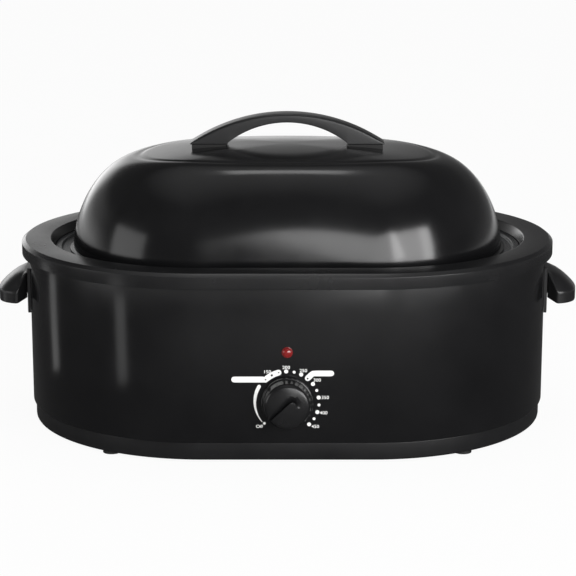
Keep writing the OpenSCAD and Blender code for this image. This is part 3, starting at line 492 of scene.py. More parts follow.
# %% [markdown]
# ## The lid
#
# The lid is pressed from one sheet: a flat flange, a high wall that rolls over into shoulders, and
# a gently crowned top panel with a pressed edge. Half a sphere has the same layout of rings and
# columns, so the lid starts as one. Each of its rings is then moved to an oval of the right length,
# depth and height, and the sheet gets its thickness at the end.

# %% The lid's form, in millimetres
LID_HALF_L, LID_HALF_D = 223.2, 140.2
PANEL_HALF_L, PANEL_HALF_D = 154.0, 89.0
PANEL_Z = LID_Z + 95.0  # the panel's height at the ends
LID_FRONT_RISE, LID_CROWN = 5.5, 12.5  # how much the panel's front edge and its middle rise above that
SIDE_POWER, RISE_POWER = 1.9, 1.75  # how full the shoulder is, outwards and upwards
LID_COLUMNS, BOW_SHARE, WALL_RINGS = 192, 0.28, 34
STRAIGHT = 90000.0  # bow radius of a side that looks straight
PANEL_BOW = 2.2 * PANEL_HALF_L  # and that of the panel
WALL_ROOT = LID_Z + 1.4
LID_SHEET_T = 1.2
# the flange, as (out from the wall, up from its underside)
FLANGE = ((3.6, 0.5), (3.5, 1.0), (3.0, 1.2), (1.4, 1.2), (0.4, 1.25))
# the panel's pressed edge and crown, as (share of the panel's size, rise of the bead)
PANEL_RINGS = ((0.985, 0.1), (0.972, 0.55), (0.958, 0.75), (0.94, 0.75), (0.90, 0.7), (0.8, 0.6),
               (0.68, 0.5), (0.55, 0.4), (0.42, 0.3), (0.29, 0.2), (0.17, 0.1), (0.07, 0.0))


def lid_ring(half_l, half_d, bow_r, z_end, z_front):
    """An oval whose long sides bow with radius bow_r and run smoothly into its round ends."""
    end_r = (2 * bow_r * half_d - half_d**2 - half_l**2) / (2 * (bow_r - half_l))
    end_x = half_l - end_r
    meet = math.asin(end_x / (bow_r - end_r))
    on_bow = int(LID_COLUMNS / 2 * BOW_SHARE)
    on_end = LID_COLUMNS // 2 - on_bow
    out = []
    for side in (1, -1):
        for t in [mix(-meet, meet, k / on_bow) for k in range(on_bow)]:
            out.append((side * bow_r * math.sin(t), side * (bow_r - half_d - bow_r * math.cos(t)),
                        mix(z_end, z_front, math.cos(t) ** 2)))
        for t in [mix(meet, math.pi - meet, k / on_end) for k in range(on_end)]:
            out.append((side * (end_x + end_r * math.sin(t)), -side * end_r * math.cos(t),
                        mix(z_end, z_front, math.cos(t) ** 2)))
    return out


def bow_radius(share):
    """From a straight side at the foot to the panel's bow."""
    return 1 / mix(1 / STRAIGHT, 1 / PANEL_BOW, share**2)


def lid_rings():
    rings = [lid_ring(LID_HALF_L + out, LID_HALF_D + out, STRAIGHT, LID_Z + up, LID_Z + up)
             for out, up in FLANGE]
    for turn in [math.pi / 2 * k / WALL_RINGS for k in range(WALL_RINGS + 1)]:
        width, climb = math.cos(turn) ** (2 / SIDE_POWER), math.sin(turn) ** (2 / RISE_POWER)
        rings.append(lid_ring(
            mix(PANEL_HALF_L, LID_HALF_L, width), mix(PANEL_HALF_D, LID_HALF_D, width), bow_radius(climb),
            mix(WALL_ROOT, PANEL_Z, climb), mix(WALL_ROOT, PANEL_Z + LID_FRONT_RISE, climb)))
    for share, bead in PANEL_RINGS:
        crown = 1 - share**2
        rings.append(lid_ring(
            PANEL_HALF_L * share, PANEL_HALF_D * share, bow_radius(1.0) * share,
            PANEL_Z + LID_CROWN * crown + bead, PANEL_Z + mix(LID_FRONT_RISE, LID_CROWN, crown) + bead))
    return rings


# %% The lid, from half a sphere
rings = lid_rings()
# the first point of a ring is at the left end of the front bow
first_column = round(LID_COLUMNS * (0.75 - BOW_SHARE / 4))
lid = add_primitive("lid_pressing", bpy.ops.mesh.primitive_uv_sphere_add,
                    segments=LID_COLUMNS, ring_count=2 * len(rings), radius=1.0)
pick(lid, lambda p: p.z < -1e-4)
bpy.ops.mesh.delete(type="VERT")
mode("OBJECT")
for vertex in lid.data.vertices:
    latitude = math.asin(max(-1.0, min(1.0, vertex.co.z)))
    row = round(latitude / (math.pi / 2) * len(rings))
    if row >= len(rings):
        vertex.co = Vector((0.0, 0.0, PANEL_Z + LID_CROWN)) * MM
        continue
    column = round(math.atan2(vertex.co.y, vertex.co.x) / (2 * math.pi) * LID_COLUMNS)
    vertex.co = Vector(rings[row][(column - first_column) % LID_COLUMNS]) * MM
tidy_mesh(lid)
finish_modifier(lid, "SOLIDIFY", "sheet", thickness=LID_SHEET_T * MM, offset=-1.0, use_even_offset=True)
smooth(lid, 40.0)
dress(lid, ENAMEL, "lid", "black_enamel", "lid_shell")

# %% [markdown]
# ## Lofted pieces
#
# The handle on the lid changes section all the way along, so it is drawn as a row of sections that
# are joined one to the next. Each section starts as a loop, is extruded, and is moved to its place.


# %% A loft through sections
def place_key(point):
    """A point's place in metres, rounded so that stored and computed places agree."""
    return tuple(round(value, 7) for value in point)


def loft(name, sections):
    """Joins closed sections of equal count, each a list of points in mm, and closes both ends."""
    obj = start_loop(name, sections[0])
    in_edit(obj, lambda: bpy.ops.mesh.edge_face_add())
    pick(obj, lambda p: True)
    mode("OBJECT")
    for last, section in zip(sections, sections[1:]):
        only(obj)
        mode("EDIT")
        bpy.ops.mesh.extrude_region_move()
        mode("OBJECT")
        moves = {place_key(Vector(old) * MM): new for old, new in zip(last, section)}
        for vertex in [v for v in obj.data.vertices if v.select]:
            vertex.co = Vector(moves[place_key(vertex.co)]) * MM
    tidy_mesh(obj)
    print(name, "loft of", len(sections), "sections of", len(sections[0]))
    return obj


# %% [markdown]
# ## The lid's handle
#
# A phenolic bridge with two wedge feet. Its top is one long arc, its opening a shorter one. The
# sections run from tip to tip, with the long top edges rounded more than the lower ones.

# %% Lid handle
SOLE_Z = 287.8
ARCH_HALF, ARCH_H, ARCH_TIP = 100.0, 31.5, 1.2  # half its length, its height, and that of a tip
OPEN_HALF, SPRING = 61.5, 1.6  # half the opening, and the step up from the sole into it
ARCH_T, ARCH_D = 8.8, 26.0  # thickness in the middle, and depth
ROUND_ABOVE, ROUND_BELOW = 3.0, 0.8
FOOT_PLACES = (0.01, 0.6, 2.0, *range(4, 37, 4))  # sections along a foot, from its tip inwards
OPEN_STEPS = 44


def arc_radius(half, rise):
    """Radius of an arc over a chord of twice half."""
    return (half**2 + rise**2) / (2 * rise)


UNDER_RISE = ARCH_H - ARCH_T - SPRING
TOP_R, UNDER_R = arc_radius(ARCH_HALF, ARCH_H - ARCH_TIP), arc_radius(OPEN_HALF, UNDER_RISE)
TOP_CENTRE, UNDER_CENTRE = SOLE_Z + ARCH_H - TOP_R, SOLE_Z + ARCH_H - ARCH_T - UNDER_R


def arch_section(x, low):
    """A section across the handle, from its underside at height low."""
    top, half = TOP_CENTRE + math.sqrt(TOP_R**2 - x * x), ARCH_D / 2
    above, below = min(ROUND_ABOVE, 0.45 * (top - low)), min(ROUND_BELOW, 0.2 * (top - low))
    corners = [(-half, low, below), (half, low, below), (half, top, above), (-half, top, above)]
    return [(x, y, z) for y, z in rounded(corners, steps=6)]


foot_x = [place - ARCH_HALF for place in FOOT_PLACES] + [-OPEN_HALF - 0.01]
open_x = [-OPEN_HALF * math.cos(math.pi * k / OPEN_STEPS) for k in range(OPEN_STEPS + 1)]
arch_line = [(x, SOLE_Z) for x in foot_x]
arch_line += [(x, UNDER_CENTRE + math.sqrt(UNDER_R**2 - x * x)) for x in open_x]
arch_line += [(-x, SOLE_Z) for x in reversed(foot_x)]
lid_handle = loft("lid_handle_arch", [arch_section(x, low) for x, low in arch_line])
smooth(lid_handle, 35.0)
dress(lid_handle, PHENOLIC, "lid", "black_plastic", "lid_handle")

# %% [markdown]
# ## Side handles
#
# Each side handle is a moulded shell: an arched top that runs down to a bowed outer edge, and a
# short skirt below that edge, open underneath for the fingers. Sections of equal count follow one
# another round the plan, from one cheek to the other. Each runs from the skirt's foot up over the
# edge and back to the wall, and the surface then gets its thickness inwards.

# %% Side handle form
GRIP_REACH, GRIP_BACK = 33.5, 3.6  # from the wall to the outer edge, and to the shell's back
GRIP_TOP, GRIP_EDGE, GRIP_BOTTOM = 157.0, 138.0, 126.5
GRIP_ARCH, GRIP_ROUND, GRIP_WALL = 0.88, 0.9, 2.6  # fullness of the arch, edge radius, thickness
GRIP_BOW_R, GRIP_CORNER_R, GRIP_HALF = 94.0, 25.0, 43.5
CHEEK_X, CHEEK_FOOT_Y = 10.0, 31.5  # where the cheek leaves the bow, and where it meets the wall
CHEEK_FOOT_RISE, CHEEK_BEND = 4.0, 0.86  # lift of its foot, and where it starts to bend
BEND_CLIMBS = [0.14, 0.08, 0.03, 0.0]  # how the edge comes down along that bend


def wall_x(y, gap):
    """X of the wall's outer face plus a gap."""
    return END_X + math.sqrt((END_R + gap) ** 2 - y * y)


def round_point(x, y, radius, angle):
    """A point of a circle about (x, y)."""
    return (x + radius * math.cos(angle), y + radius * math.sin(angle))


def grip_outline():
    """Plan points from the front cheek, round the bow, to the back cheek, each with its climb.

    The climb is 1 where a cheek meets the wall and 0 along the bow.
    """
    bow_x = BODY_END + GRIP_REACH - GRIP_BOW_R
    corner_y = GRIP_HALF - GRIP_CORNER_R
    corner_x = bow_x + math.sqrt((GRIP_BOW_R - GRIP_CORNER_R) ** 2 - corner_y**2)
    turn = math.asin(corner_y / (GRIP_BOW_R - GRIP_CORNER_R))
    first = -math.acos((BODY_END + CHEEK_X - corner_x) / GRIP_CORNER_R)
    corner = [round_point(corner_x, -corner_y, GRIP_CORNER_R, mix(first, -turn, k / 10)) for k in range(11)]
    bow = [round_point(bow_x, 0.0, GRIP_BOW_R, mix(-turn, 0.0, k / 8)) for k in range(1, 9)]
    foot, tip = Vector((wall_x(CHEEK_FOOT_Y, GRIP_BACK), -CHEEK_FOOT_Y)), Vector(corner[0])
    cheek = [tuple(mix(foot, tip, k / 5)) for k in range(5)]
    near, far = mix(foot, tip, CHEEK_BEND), Vector(corner[1])
    bend = [tuple((1 - t) ** 2 * near + 2 * t * (1 - t) * tip + t * t * far) for t in (0.0, 0.25, 0.5, 0.75)]
    climbs = [1.0 - k / 5 for k in range(5)] + BEND_CLIMBS + [0.0] * (len(corner) - 1 + len(bow))
    front = [(x, y, climb) for (x, y), climb in zip(cheek + bend + corner[1:] + bow, climbs)]
    return front + [(x, -y, climb) for x, y, climb in reversed(front[:-1])]


def grip_section(outer, share):
    """From the skirt's foot over the edge to the wall. share runs from -1 to 1 along the wall."""
    x, y, climb = outer
    back_y = CHEEK_FOOT_Y * share
    start, inner = Vector((x, y)), Vector((wall_x(back_y, GRIP_BACK), back_y))
    edge = mix(GRIP_EDGE, GRIP_TOP, climb)
    foot = GRIP_BOTTOM + CHEEK_FOOT_RISE * climb
    points = [(x, y, mix(foot, edge - GRIP_ROUND, t)) for t in (0.0, 0.1, 0.5, 0.9, 1.0)]
    span = (inner - start).length
    if span < 2 * GRIP_ROUND:
        run = [0.0] * 3 + [0.02, 0.1, 0.3, 0.5, 0.7, 0.85, 1.0]
    else:
        edge_share = GRIP_ROUND / span
        run = [edge_share * t for t in (0.13, 0.5, 1.0)]
        run += [mix(edge_share, 1.0, t) for t in (0.06, 0.18, 0.34, 0.52, 0.72, 0.88, 1.0)]
    drops = [0.5, 0.13] + [0.0] * (len(run) - 2)  # the rounded edge, in shares of its radius
    for t, drop in zip(run, drops):
        spot = mix(start, inner, t)
        height = mix(edge, GRIP_TOP, math.sin(t * math.pi / 2) ** GRIP_ARCH)
        points.append((spot.x, spot.y, height - drop * GRIP_ROUND))
    return points


# %% The shell, from a grid
def grip_shell(name):
    outline = grip_outline()
    half = (len(outline) - 1) / 2
    sections = [grip_section(p, (i - half) / half) for i, p in enumerate(outline)]
    columns, rows = len(sections[0]), len(sections)
    obj = add_primitive(name, bpy.ops.mesh.primitive_grid_add,
                        x_subdivisions=columns - 1, y_subdivisions=rows - 1, size=1.0)
    for vertex in obj.data.vertices:
        i = round((vertex.co.x + 0.5) * (columns - 1))
        j = round((vertex.co.y + 0.5) * (rows - 1))
        vertex.co = Vector(sections[j][i]) * MM
    tidy_mesh(obj)
    outermost = max(obj.data.polygons, key=lambda face: face.center.x)
    if outermost.normal.x < 0:
        in_edit(obj, lambda: bpy.ops.mesh.flip_normals())
    finish_modifier(obj, "SOLIDIFY", "shell", thickness=GRIP_WALL * MM, offset=-1.0)
    finish_modifier(obj, "BEVEL", "edges", width=0.45 * MM, segments=2, limit_method="ANGLE",
                    angle_limit=math.radians(50))
    return obj


# %% The rib and the bosses under the shell
RIB_T, RIB_LIFT = 2.0, 1.5  # thickness, and how far its foot stays above the skirt's
BOSS_R, BOSS_LENGTH, BOSS_IN, BOSS_Y, BOSS_Z = 4.5, 9.5, 3.2, 18.0, 139.5


def grip_stiffener(start, end):
    foot = GRIP_BOTTOM + RIB_LIFT
    top = [(mix(end - 0.5, start, t), mix(GRIP_EDGE, GRIP_TOP, math.sin(t * math.pi / 2)) - GRIP_WALL)
           for t in [k / 8 for k in range(9)]]
    outline = [(start, foot), (end, foot), (end, top[0][1])] + top
    return loft("grip_rib", [[(x, y, z) for x, z in outline] for y in (-RIB_T / 2, RIB_T / 2)])


def grip_boss(start, y):
    boss = add_primitive("grip_boss", bpy.ops.mesh.primitive_cylinder_add, vertices=32,
                         radius=BOSS_R * MM, depth=BOSS_LENGTH * MM, rotation=(0, math.pi / 2, 0),
                         location=((start + BOSS_IN) * MM, y * MM, BOSS_Z * MM))
    bpy.ops.object.transform_apply(location=True, rotation=True, scale=True)
    finish_modifier(boss, "BEVEL", "edges", width=0.4 * MM, segments=2, limit_method="ANGLE")
    return boss


# %% Side handles, modelled once and mirrored
shell = grip_shell("grip")
inner_x, outer_x = BODY_END + GRIP_BACK + 0.4, BODY_END + GRIP_REACH - GRIP_WALL
right_grip = joined("right_grip_shell", [shell, grip_stiffener(inner_x, outer_x)]
                    + [grip_boss(inner_x, y) for y in (-BOSS_Y, BOSS_Y)])
smooth(right_grip, 40.0)
only(right_grip)
bpy.ops.object.duplicate()
left_grip = bpy.context.object
left_grip.name = left_grip.data.name = "left_grip_shell"
only(left_grip)
bpy.ops.transform.mirror(constraint_axis=(True, False, False), orient_type="GLOBAL",
                         center_override=(0, 0, 0))
bpy.ops.object.transform_apply(location=True, rotation=True, scale=True)
in_edit(left_grip, lambda: bpy.ops.mesh.normals_make_consistent(inside=False))
dress(left_grip, PHENOLIC, "housing", "black_plastic", "left_handle_grip")
dress(right_grip, PHENOLIC, "housing", "black_plastic", "right_handle_grip")

# %% [markdown]
# ## The control knob
#
# A polished knob with a thin skirt, a domed cap and a groove beside a bar that points at the mark.
# The body of the knob is a loft of rings about the shaft. The groove is then cut with a curved
# form that follows the bar and fades round its end, and the bar's edge is eased.

# %% Knob body
KNOB_COLUMNS = 120
MARK_ANGLE = math.radians(-134.0)  # clockwise from the top, seen from the front
CAP_OUT, CAP_DROP = 20.0, 1.5  # how far the cap stands out, and how much its dome falls outwards
SHOULDER_AT, SHOULDER_R = 17.6, 5.0
SHOULDER_TURN, SHOULDER_STEPS = (8, 76), 11  # degrees that the shoulder's round runs through
SHOULDER_LOW = 0.1  # how far the top of its round stays under the dome's edge
CAP_RINGS = (16.8, 15.0, 12.5, 10.0, 7.5, 5.0, 2.5)  # radii of the rings on the domed face
# the skirt, and the two ends of the cap's leaning side, as (radius, out from the wall)
SKIRT = [(20.0, 1.2), (25.2, 1.2), (25.5, 1.6), (25.2, 4.4), (24.9, 4.9), (24.3, 5.1), (23.9, 5.5)]
SIDE_FOOT, SIDE_TOP, SIDE_STEPS = (23.8, 6.5), (22.7, 13.0), 5


def cap_height(radius):
    """How far the cap's domed face stands out from the wall."""
    return CAP_OUT - CAP_DROP * (min(radius, SHOULDER_AT) / SHOULDER_AT) ** 2


def turned(name, profile, columns, middle_z):
    """A piece turned about an axis that points forward, from its (radius, out) profile."""
    turns = [-2 * math.pi * k / columns for k in range(columns)]
    return loft(name, [[(r * math.sin(a), FRONT_Y - out, middle_z + r * math.cos(a)) for a in turns]
                       for r, out in profile])


side = [tuple(mix(foot, top, k / SIDE_STEPS) for foot, top in zip(SIDE_FOOT, SIDE_TOP))
        for k in range(SIDE_STEPS + 1)]
shoulder_out = CAP_OUT - SHOULDER_LOW - CAP_DROP - SHOULDER_R
shoulder = [round_point(SHOULDER_AT, shoulder_out, SHOULDER_R,
                        math.radians(mix(*SHOULDER_TURN, k / SHOULDER_STEPS)))
            for k in range(SHOULDER_STEPS + 1)]
dome = [(radius, cap_height(radius)) for radius in CAP_RINGS]
knob = turned("knob_cap", SKIRT + side + shoulder + dome, KNOB_COLUMNS, DIAL_Z)

# %% The groove
GROOVE_DEPTH, BAR_EDGE = 4.2, 1.3
BAR_R, BAR_END = 3.4, -4.6  # the round at the bar's end, and where it starts
BAR_PLACES = (30.0, 24.0, 20.0, 16.0, 12.0, 8.0, 4.0, 0.0, BAR_END)  # sections along the bar
END_TURN, END_STEPS, FADE_FROM = (90.0, 250.0), 16, 6  # degrees round its end, and the fade there
OVER_CAP, CLEAR = 12.0, 0.3  # the cutter's back, and how far it stays off the cap beside the groove
# the groove's floor, as (distance from the bar's edge, share of the depth)
GROOVE_FLOOR = ((0.0, 1.0), (0.8, 0.84), (1.6, 0.66), (2.5, 0.44), (3.5, 0.24), (4.6, 0.09), (6.0, -0.02),
                (7.5, -0.4))
along = Vector((math.sin(MARK_ANGLE), 0, math.cos(MARK_ANGLE)))
across = Vector((math.cos(MARK_ANGLE), 0, -math.sin(MARK_ANGLE)))


def groove_point(u, v, lift):
    """u along the bar, v across it, lift above the cap's domed face."""
    spot = Vector((0, 0, DIAL_Z)) + along * u + across * v
    return (spot.x, FRONT_Y - cap_height(math.hypot(u, v)) - lift, spot.z)


def groove_section(foot, outward, share):
    """Across the groove: its curved floor out from the bar, then back over the cap."""
    under = []
    for reach, fall in GROOVE_FLOOR:
        lift = -GROOVE_DEPTH * fall * share
        under.append((foot[0] + outward[0] * reach, foot[1] + outward[1] * reach,
                      lift if lift < 0 else lift + CLEAR))
    over = [(*under[-1][:2], OVER_CAP), (*under[0][:2], OVER_CAP)]
    return [groove_point(*place) for place in under + over]


groove_sections = [groove_section((u, BAR_EDGE), (0.0, 1.0), 1.0) for u in BAR_PLACES]
for step in range(1, END_STEPS + 1):
    outward = round_point(0.0, 0.0, 1.0, math.radians(mix(*END_TURN, step / END_STEPS)))
    foot = (BAR_END + BAR_R * outward[0], BAR_EDGE - BAR_R + BAR_R * outward[1])
    share = 1.0 - max(step - FADE_FROM, 0) / (END_STEPS - FADE_FROM)
    groove_sections.append(groove_section(foot, outward, share))
cutter = loft("groove_cutter", groove_sections)
finish_modifier(knob, "BOOLEAN", "groove", object=cutter, operation="DIFFERENCE", solver="EXACT")
bpy.data.objects.remove(cutter)
tidy_mesh(knob, gap=1e-5)


# %% The eased edges of the groove
CAP_SIDE = 9.0  # edges nearer to the wall than this belong to the skirt
SHARP = math.radians(38)  # faces that meet at more than this form an edge of the cut


def mark_groove_edges(obj):
    """Gives a bevel weight to the sharp edges that the cut left on the cap."""
    weights = obj.data.attributes.new("bevel_weight_edge", "FLOAT", "EDGE")
    normals = {}
    for face in obj.data.polygons:
        for key in face.edge_keys:
            normals.setdefault(key, []).append(face.normal)
    marked = 0
    for edge in obj.data.edges:
        pair = normals.get(edge.key, [])
        middle = sum((obj.data.vertices[v].co for v in edge.vertices), Vector()) / 2
        if len(pair) == 2 and pair[0].angle(pair[1]) > SHARP and middle.y < (FRONT_Y - CAP_SIDE) * MM:
            weights.data[edge.index].value = 1.0
            marked += 1
    return marked


print("groove edges:", mark_groove_edges(knob))
finish_modifier(knob, "BEVEL", "eased", width=0.4 * MM, segments=3, limit_method="WEIGHT")
smooth(knob, 30.0)
dress(knob, KNOB_PLASTIC, "knob", "gloss_black_plastic", "control_knob")

# %% [markdown]
# ## The indicator lens
#
# A small red dome with a rim, pushed through the wall above the dial. It is turned like the knob.

# %% Indicator lens
LENS_COLUMNS = 64
DOME_R, DOME_FOOT, DOME_RISE = 4.7, 1.4, 2.9
DOME_TURNS = [math.radians(k) for k in range(6, 88, 6)]
# the plug behind the wall and the rim in front of it, as (radius, out from the wall)
PLUG = [(4.2, -8.0), (4.2, -0.2), (5.3, -0.2), (5.4, 0.9), (5.2, 1.2), (4.85, 1.25), (4.8, 1.35)]
lens_dome = [(DOME_R * math.cos(a), DOME_FOOT + DOME_RISE * math.sin(a)) for a in DOME_TURNS]
lens = turned("lens_dome", PLUG + lens_dome, LENS_COLUMNS, LAMP_Z)
smooth(lens, 40.0)
dress(lens, LENS_RED, "housing", "red_lens", "indicator_lens")

# %% [markdown]
# ## The printed dial
#
# Dots, numbers and bands are pad-printed in white on the enamel. Ink has almost no thickness, so
# each mark is a flat shape a tenth of a millimetre proud. Places on the dial are given by their
# angle, clockwise from the top, or in millimetres to the right of its middle and above it.

# %% Marks on the dial
INK = 0.12  # how far the print's face stands off the enamel
DOT_CIRCLE = 30.9
BIG, SMALL, MARK_DOT = 2.0, 1.45, 1.35
SCALE_DOTS = ((-134, MARK_DOT), (-2, BIG), (12.4, SMALL), (25.8, BIG), (53.6, BIG), (67.5, SMALL),
              (81.3, BIG), (95.3, SMALL), (109, BIG), (122.8, SMALL), (136.6, BIG))


def on_dial(radius, degrees):
    """Place on the front, as (x, z), at an angle about the dial's middle."""
    angle = math.radians(degrees)
    return (radius * math.sin(angle), DIAL_Z + radius * math.cos(angle))


def ink_patch(name, outline):
    """A flat printed shape from (x, z) points, in mm."""
    obj = start_loop(name, [(x, FRONT_Y - INK, z) for x, z in outline])
    in_edit(obj, lambda: bpy.ops.mesh.edge_face_add(),
            lambda: bpy.ops.mesh.extrude_region_move(
                TRANSFORM_OT_translate={"value": (0, (INK - 0.02) * MM, 0)}))
    tidy_mesh(obj)
    return obj


def disc(middle, radius, steps):
    return [round_point(*middle, radius, 2 * math.pi * k / steps) for k in range(steps)]


def round_cap(middle, start, radius):
    """Points of the half circle that closes a band, from start onwards."""
    base = math.atan2(start[1] - middle[1], start[0] - middle[0])
    return [round_point(*middle, radius, base - math.pi * k / 7) for k in range(1, 7)]


def ribbon(points, half_widths):
    """Outline of a band of varying width along points, with a round start and end."""
    left, right = [], []
    for i, (point, half) in enumerate(zip(points, half_widths)):
        a, b = Vector(points[max(i - 1, 0)]), Vector(points[min(i + 1, len(points) - 1)])
        side = (b - a).normalized().orthogonal() * half
        left.append(tuple(Vector(point) + side))
        right.append(tuple(Vector(point) - side))
    end = round_cap(points[-1], left[-1], half_widths[-1])
    return left + end + right[::-1] + round_cap(points[0], right[0], half_widths[0])


patches = [ink_patch("dot", disc(on_dial(DOT_CIRCLE, degrees), size, 28)) for degrees, size in SCALE_DOTS]
print(len(patches), "dots")

# %% The warming sweep and the two bands
SWEEP_START, SWEEP_END, SWEEP_STEPS = -60, -129, 24
SWEEP_CIRCLE = 1.02 * DOT_CIRCLE
SWEEP_WIDE, SWEEP_FINE, SWEEP_TAPER = 1.75, 0.25, 1.3  # half widths at its ends, and how it thins
LEFT_BAND = [(-51.3, 22.78), (-35.5, 22.78), (-23.54, 22.78)]  # its straight part
LEFT_BAND_ARC = (-43, -16)  # then along the circle of dots, in degrees
RIGHT_BAND = [(19.81, 24.12), (23.06, 27.37), (24.79, 28.71), (27.66, 28.9), (42.49, 28.9)]
LEFT_BAND_HALF, RIGHT_BAND_HALF = 2.9, 2.8


def above_middle(places):
    return [(x, DIAL_Z + z) for x, z in places]


shares = [k / SWEEP_STEPS for k in range(SWEEP_STEPS + 1)]
patches.append(ink_patch("sweep", ribbon(
    [on_dial(SWEEP_CIRCLE, mix(SWEEP_START, SWEEP_END, share)) for share in shares],
    [mix(SWEEP_WIDE, SWEEP_FINE, share**SWEEP_TAPER) for share in shares])))
left_band = above_middle(LEFT_BAND) + [on_dial(DOT_CIRCLE, mix(*LEFT_BAND_ARC, k / 8)) for k in range(9)]
patches.append(ink_patch("left_band", ribbon(left_band, [LEFT_BAND_HALF] * len(left_band))))
right_band = above_middle(RIGHT_BAND)
patches.append(ink_patch("right_band", ribbon(right_band, [RIGHT_BAND_HALF] * len(right_band))))

# %% Dark dots in the bands
BAND_DOTS = ((-42.7, 0.7), (-29, 1.1), (-15.6, 0.7), (39.7, 0.8))
OVER_INK = 0.06
dark = []
for degrees, size in BAND_DOTS:
    spot = ink_patch("band_dot", disc(on_dial(DOT_CIRCLE, degrees), size, 20))
    in_edit(spot, lambda: bpy.ops.transform.translate(value=(0, -OVER_INK * MM, 0)))
    dark.append(spot)
print(len(dark), "dark dots")

# %% Numbers
NUMBER_SIZE, NUMBER_WIDEN = 4.5, 1.12
NUMBER_T, NUMBER_BOLD, NUMBER_OUT = 0.04, 0.03, 0.08  # half thickness, thickening, place off the wall
NUMBERS = {"150": (-19.43, 30.43), "200": (-1.05, 34.74), "250": (15.5, 31.58), "300": (28.9, 22.11),
           "350": (36.75, 4.59), "400": (35.31, -10.91), "450": (27.27, -24.79), "Off": (-27.27, -24.69)}


def ink_text(words, x, z):
    obj = add_primitive("number", bpy.ops.object.text_add, location=(0, 0, 0))
    obj.data.body, obj.data.size = words, NUMBER_SIZE * MM
    obj.data.align_x, obj.data.align_y = "CENTER", "CENTER"
    obj.data.extrude, obj.data.offset = NUMBER_T * MM, NUMBER_BOLD * MM
    bpy.ops.object.convert(target="MESH")
    obj = bpy.context.object
    obj.scale = (NUMBER_WIDEN, 1.0, 1.0)
    obj.rotation_euler = (math.pi / 2, 0, 0)
    obj.location = (x * MM, (FRONT_Y - NUMBER_OUT) * MM, (DIAL_Z + z) * MM)
    bpy.ops.object.transform_apply(location=True, rotation=True, scale=True)
    return obj


for words, (x, z) in NUMBERS.items():
    patches.append(ink_text(words, x, z))

# %% The prints as two pieces
print_white = joined("dial_print", patches)
dress(print_white, PRINT, "housing", "ivory_plastic")
print_dark = joined("dial_band_dots", dark)
dress(print_dark, ENAMEL, "housing", "black_enamel")

# %% [markdown]
# ## Pieces that stay as built
#
# The inner pieces have the right shape already, so they keep their solids and only get a finish.

# %% Finishes of the carried-over pieces
NODE_FINISH = {
    "rim_screws": ZINC, "bottom_plate": ZINC, "base_screws": ZINC, "feet": RUBBER,
    "heating_well": ALUMINISED, "heating_band": MICA, "band_clips": ZINC,
    "insulation_blanket": GLASS_FIBRE, "roasting_rack": RACK_CHROME, "lid_handle_gaskets": RUBBER,
    "lid_handle_screws": ZINC, "left_handle_bracket": PHENOLIC, "right_handle_bracket": PHENOLIC,
    "handle_screws": ZINC, "thermostat": IVORY, "thermostat_bracket": ZINC, "thermostat_nut": BRASS,
    "thermostat_shaft": ZINC, "indicator_lamp": IVORY, "terminal_block": IVORY,
    "thermal_fuse": ALUMINISED, "cord_gland": PHENOLIC, "gland_nut": PHENOLIC,
    "outer_body": ENAMEL, "top_rim": RIM_PLASTIC, "base_ring": PHENOLIC, "cooking_pan": PAN_ENAMEL,
    "lid_shell": ENAMEL, "lid_handle": PHENOLIC, "left_handle_grip": PHENOLIC,
    "right_handle_grip": PHENOLIC, "control_knob": KNOB_PLASTIC, "indicator_lens": LENS_RED,
}
for node_name, node_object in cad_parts.items():
    node_object.data.materials.clear()
    node_object.data.materials.append(NODE_FINISH[node_name])
print(len(NODE_FINISH), "nodes have a finish")

# %% [markdown]
# ## Floor, world and lights
#
# The photograph was made on white paper. The floor and the world are white to the camera, and the
# floor keeps a faint shadow. Behind the camera the studio is darker than the paper, which is why
# the black pieces stay black, and large soft boxes draw the highlights on the lid.


# %% The paper floor
WHITE = (1.0, 1.0, 1.0, 1.0)
PAPER_SHARE = 0.94  # how much of the floor the camera sees as bare paper without a shadow
FLOOR_SIZE, FLOOR_Z = 14.0, -0.0002  # just under the soles, so that no two faces lie in one plane
BRIGHT_SPOT = (0.12, -0.90, 0.0)  # a painted pool of light on the paper, which only reflections show


def mirrored_ray(tree):
    """1 for a reflected or refracted ray, and Is Camera Ray."""
    path = add_node(tree, "ShaderNodeLightPath").outputs
    either = add_node(tree, "ShaderNodeMath", (path["Is Glossy Ray"], path["Is Transmission Ray"]),
                      operation="MAXIMUM")
    return either.outputs[0], path["Is Camera Ray"]


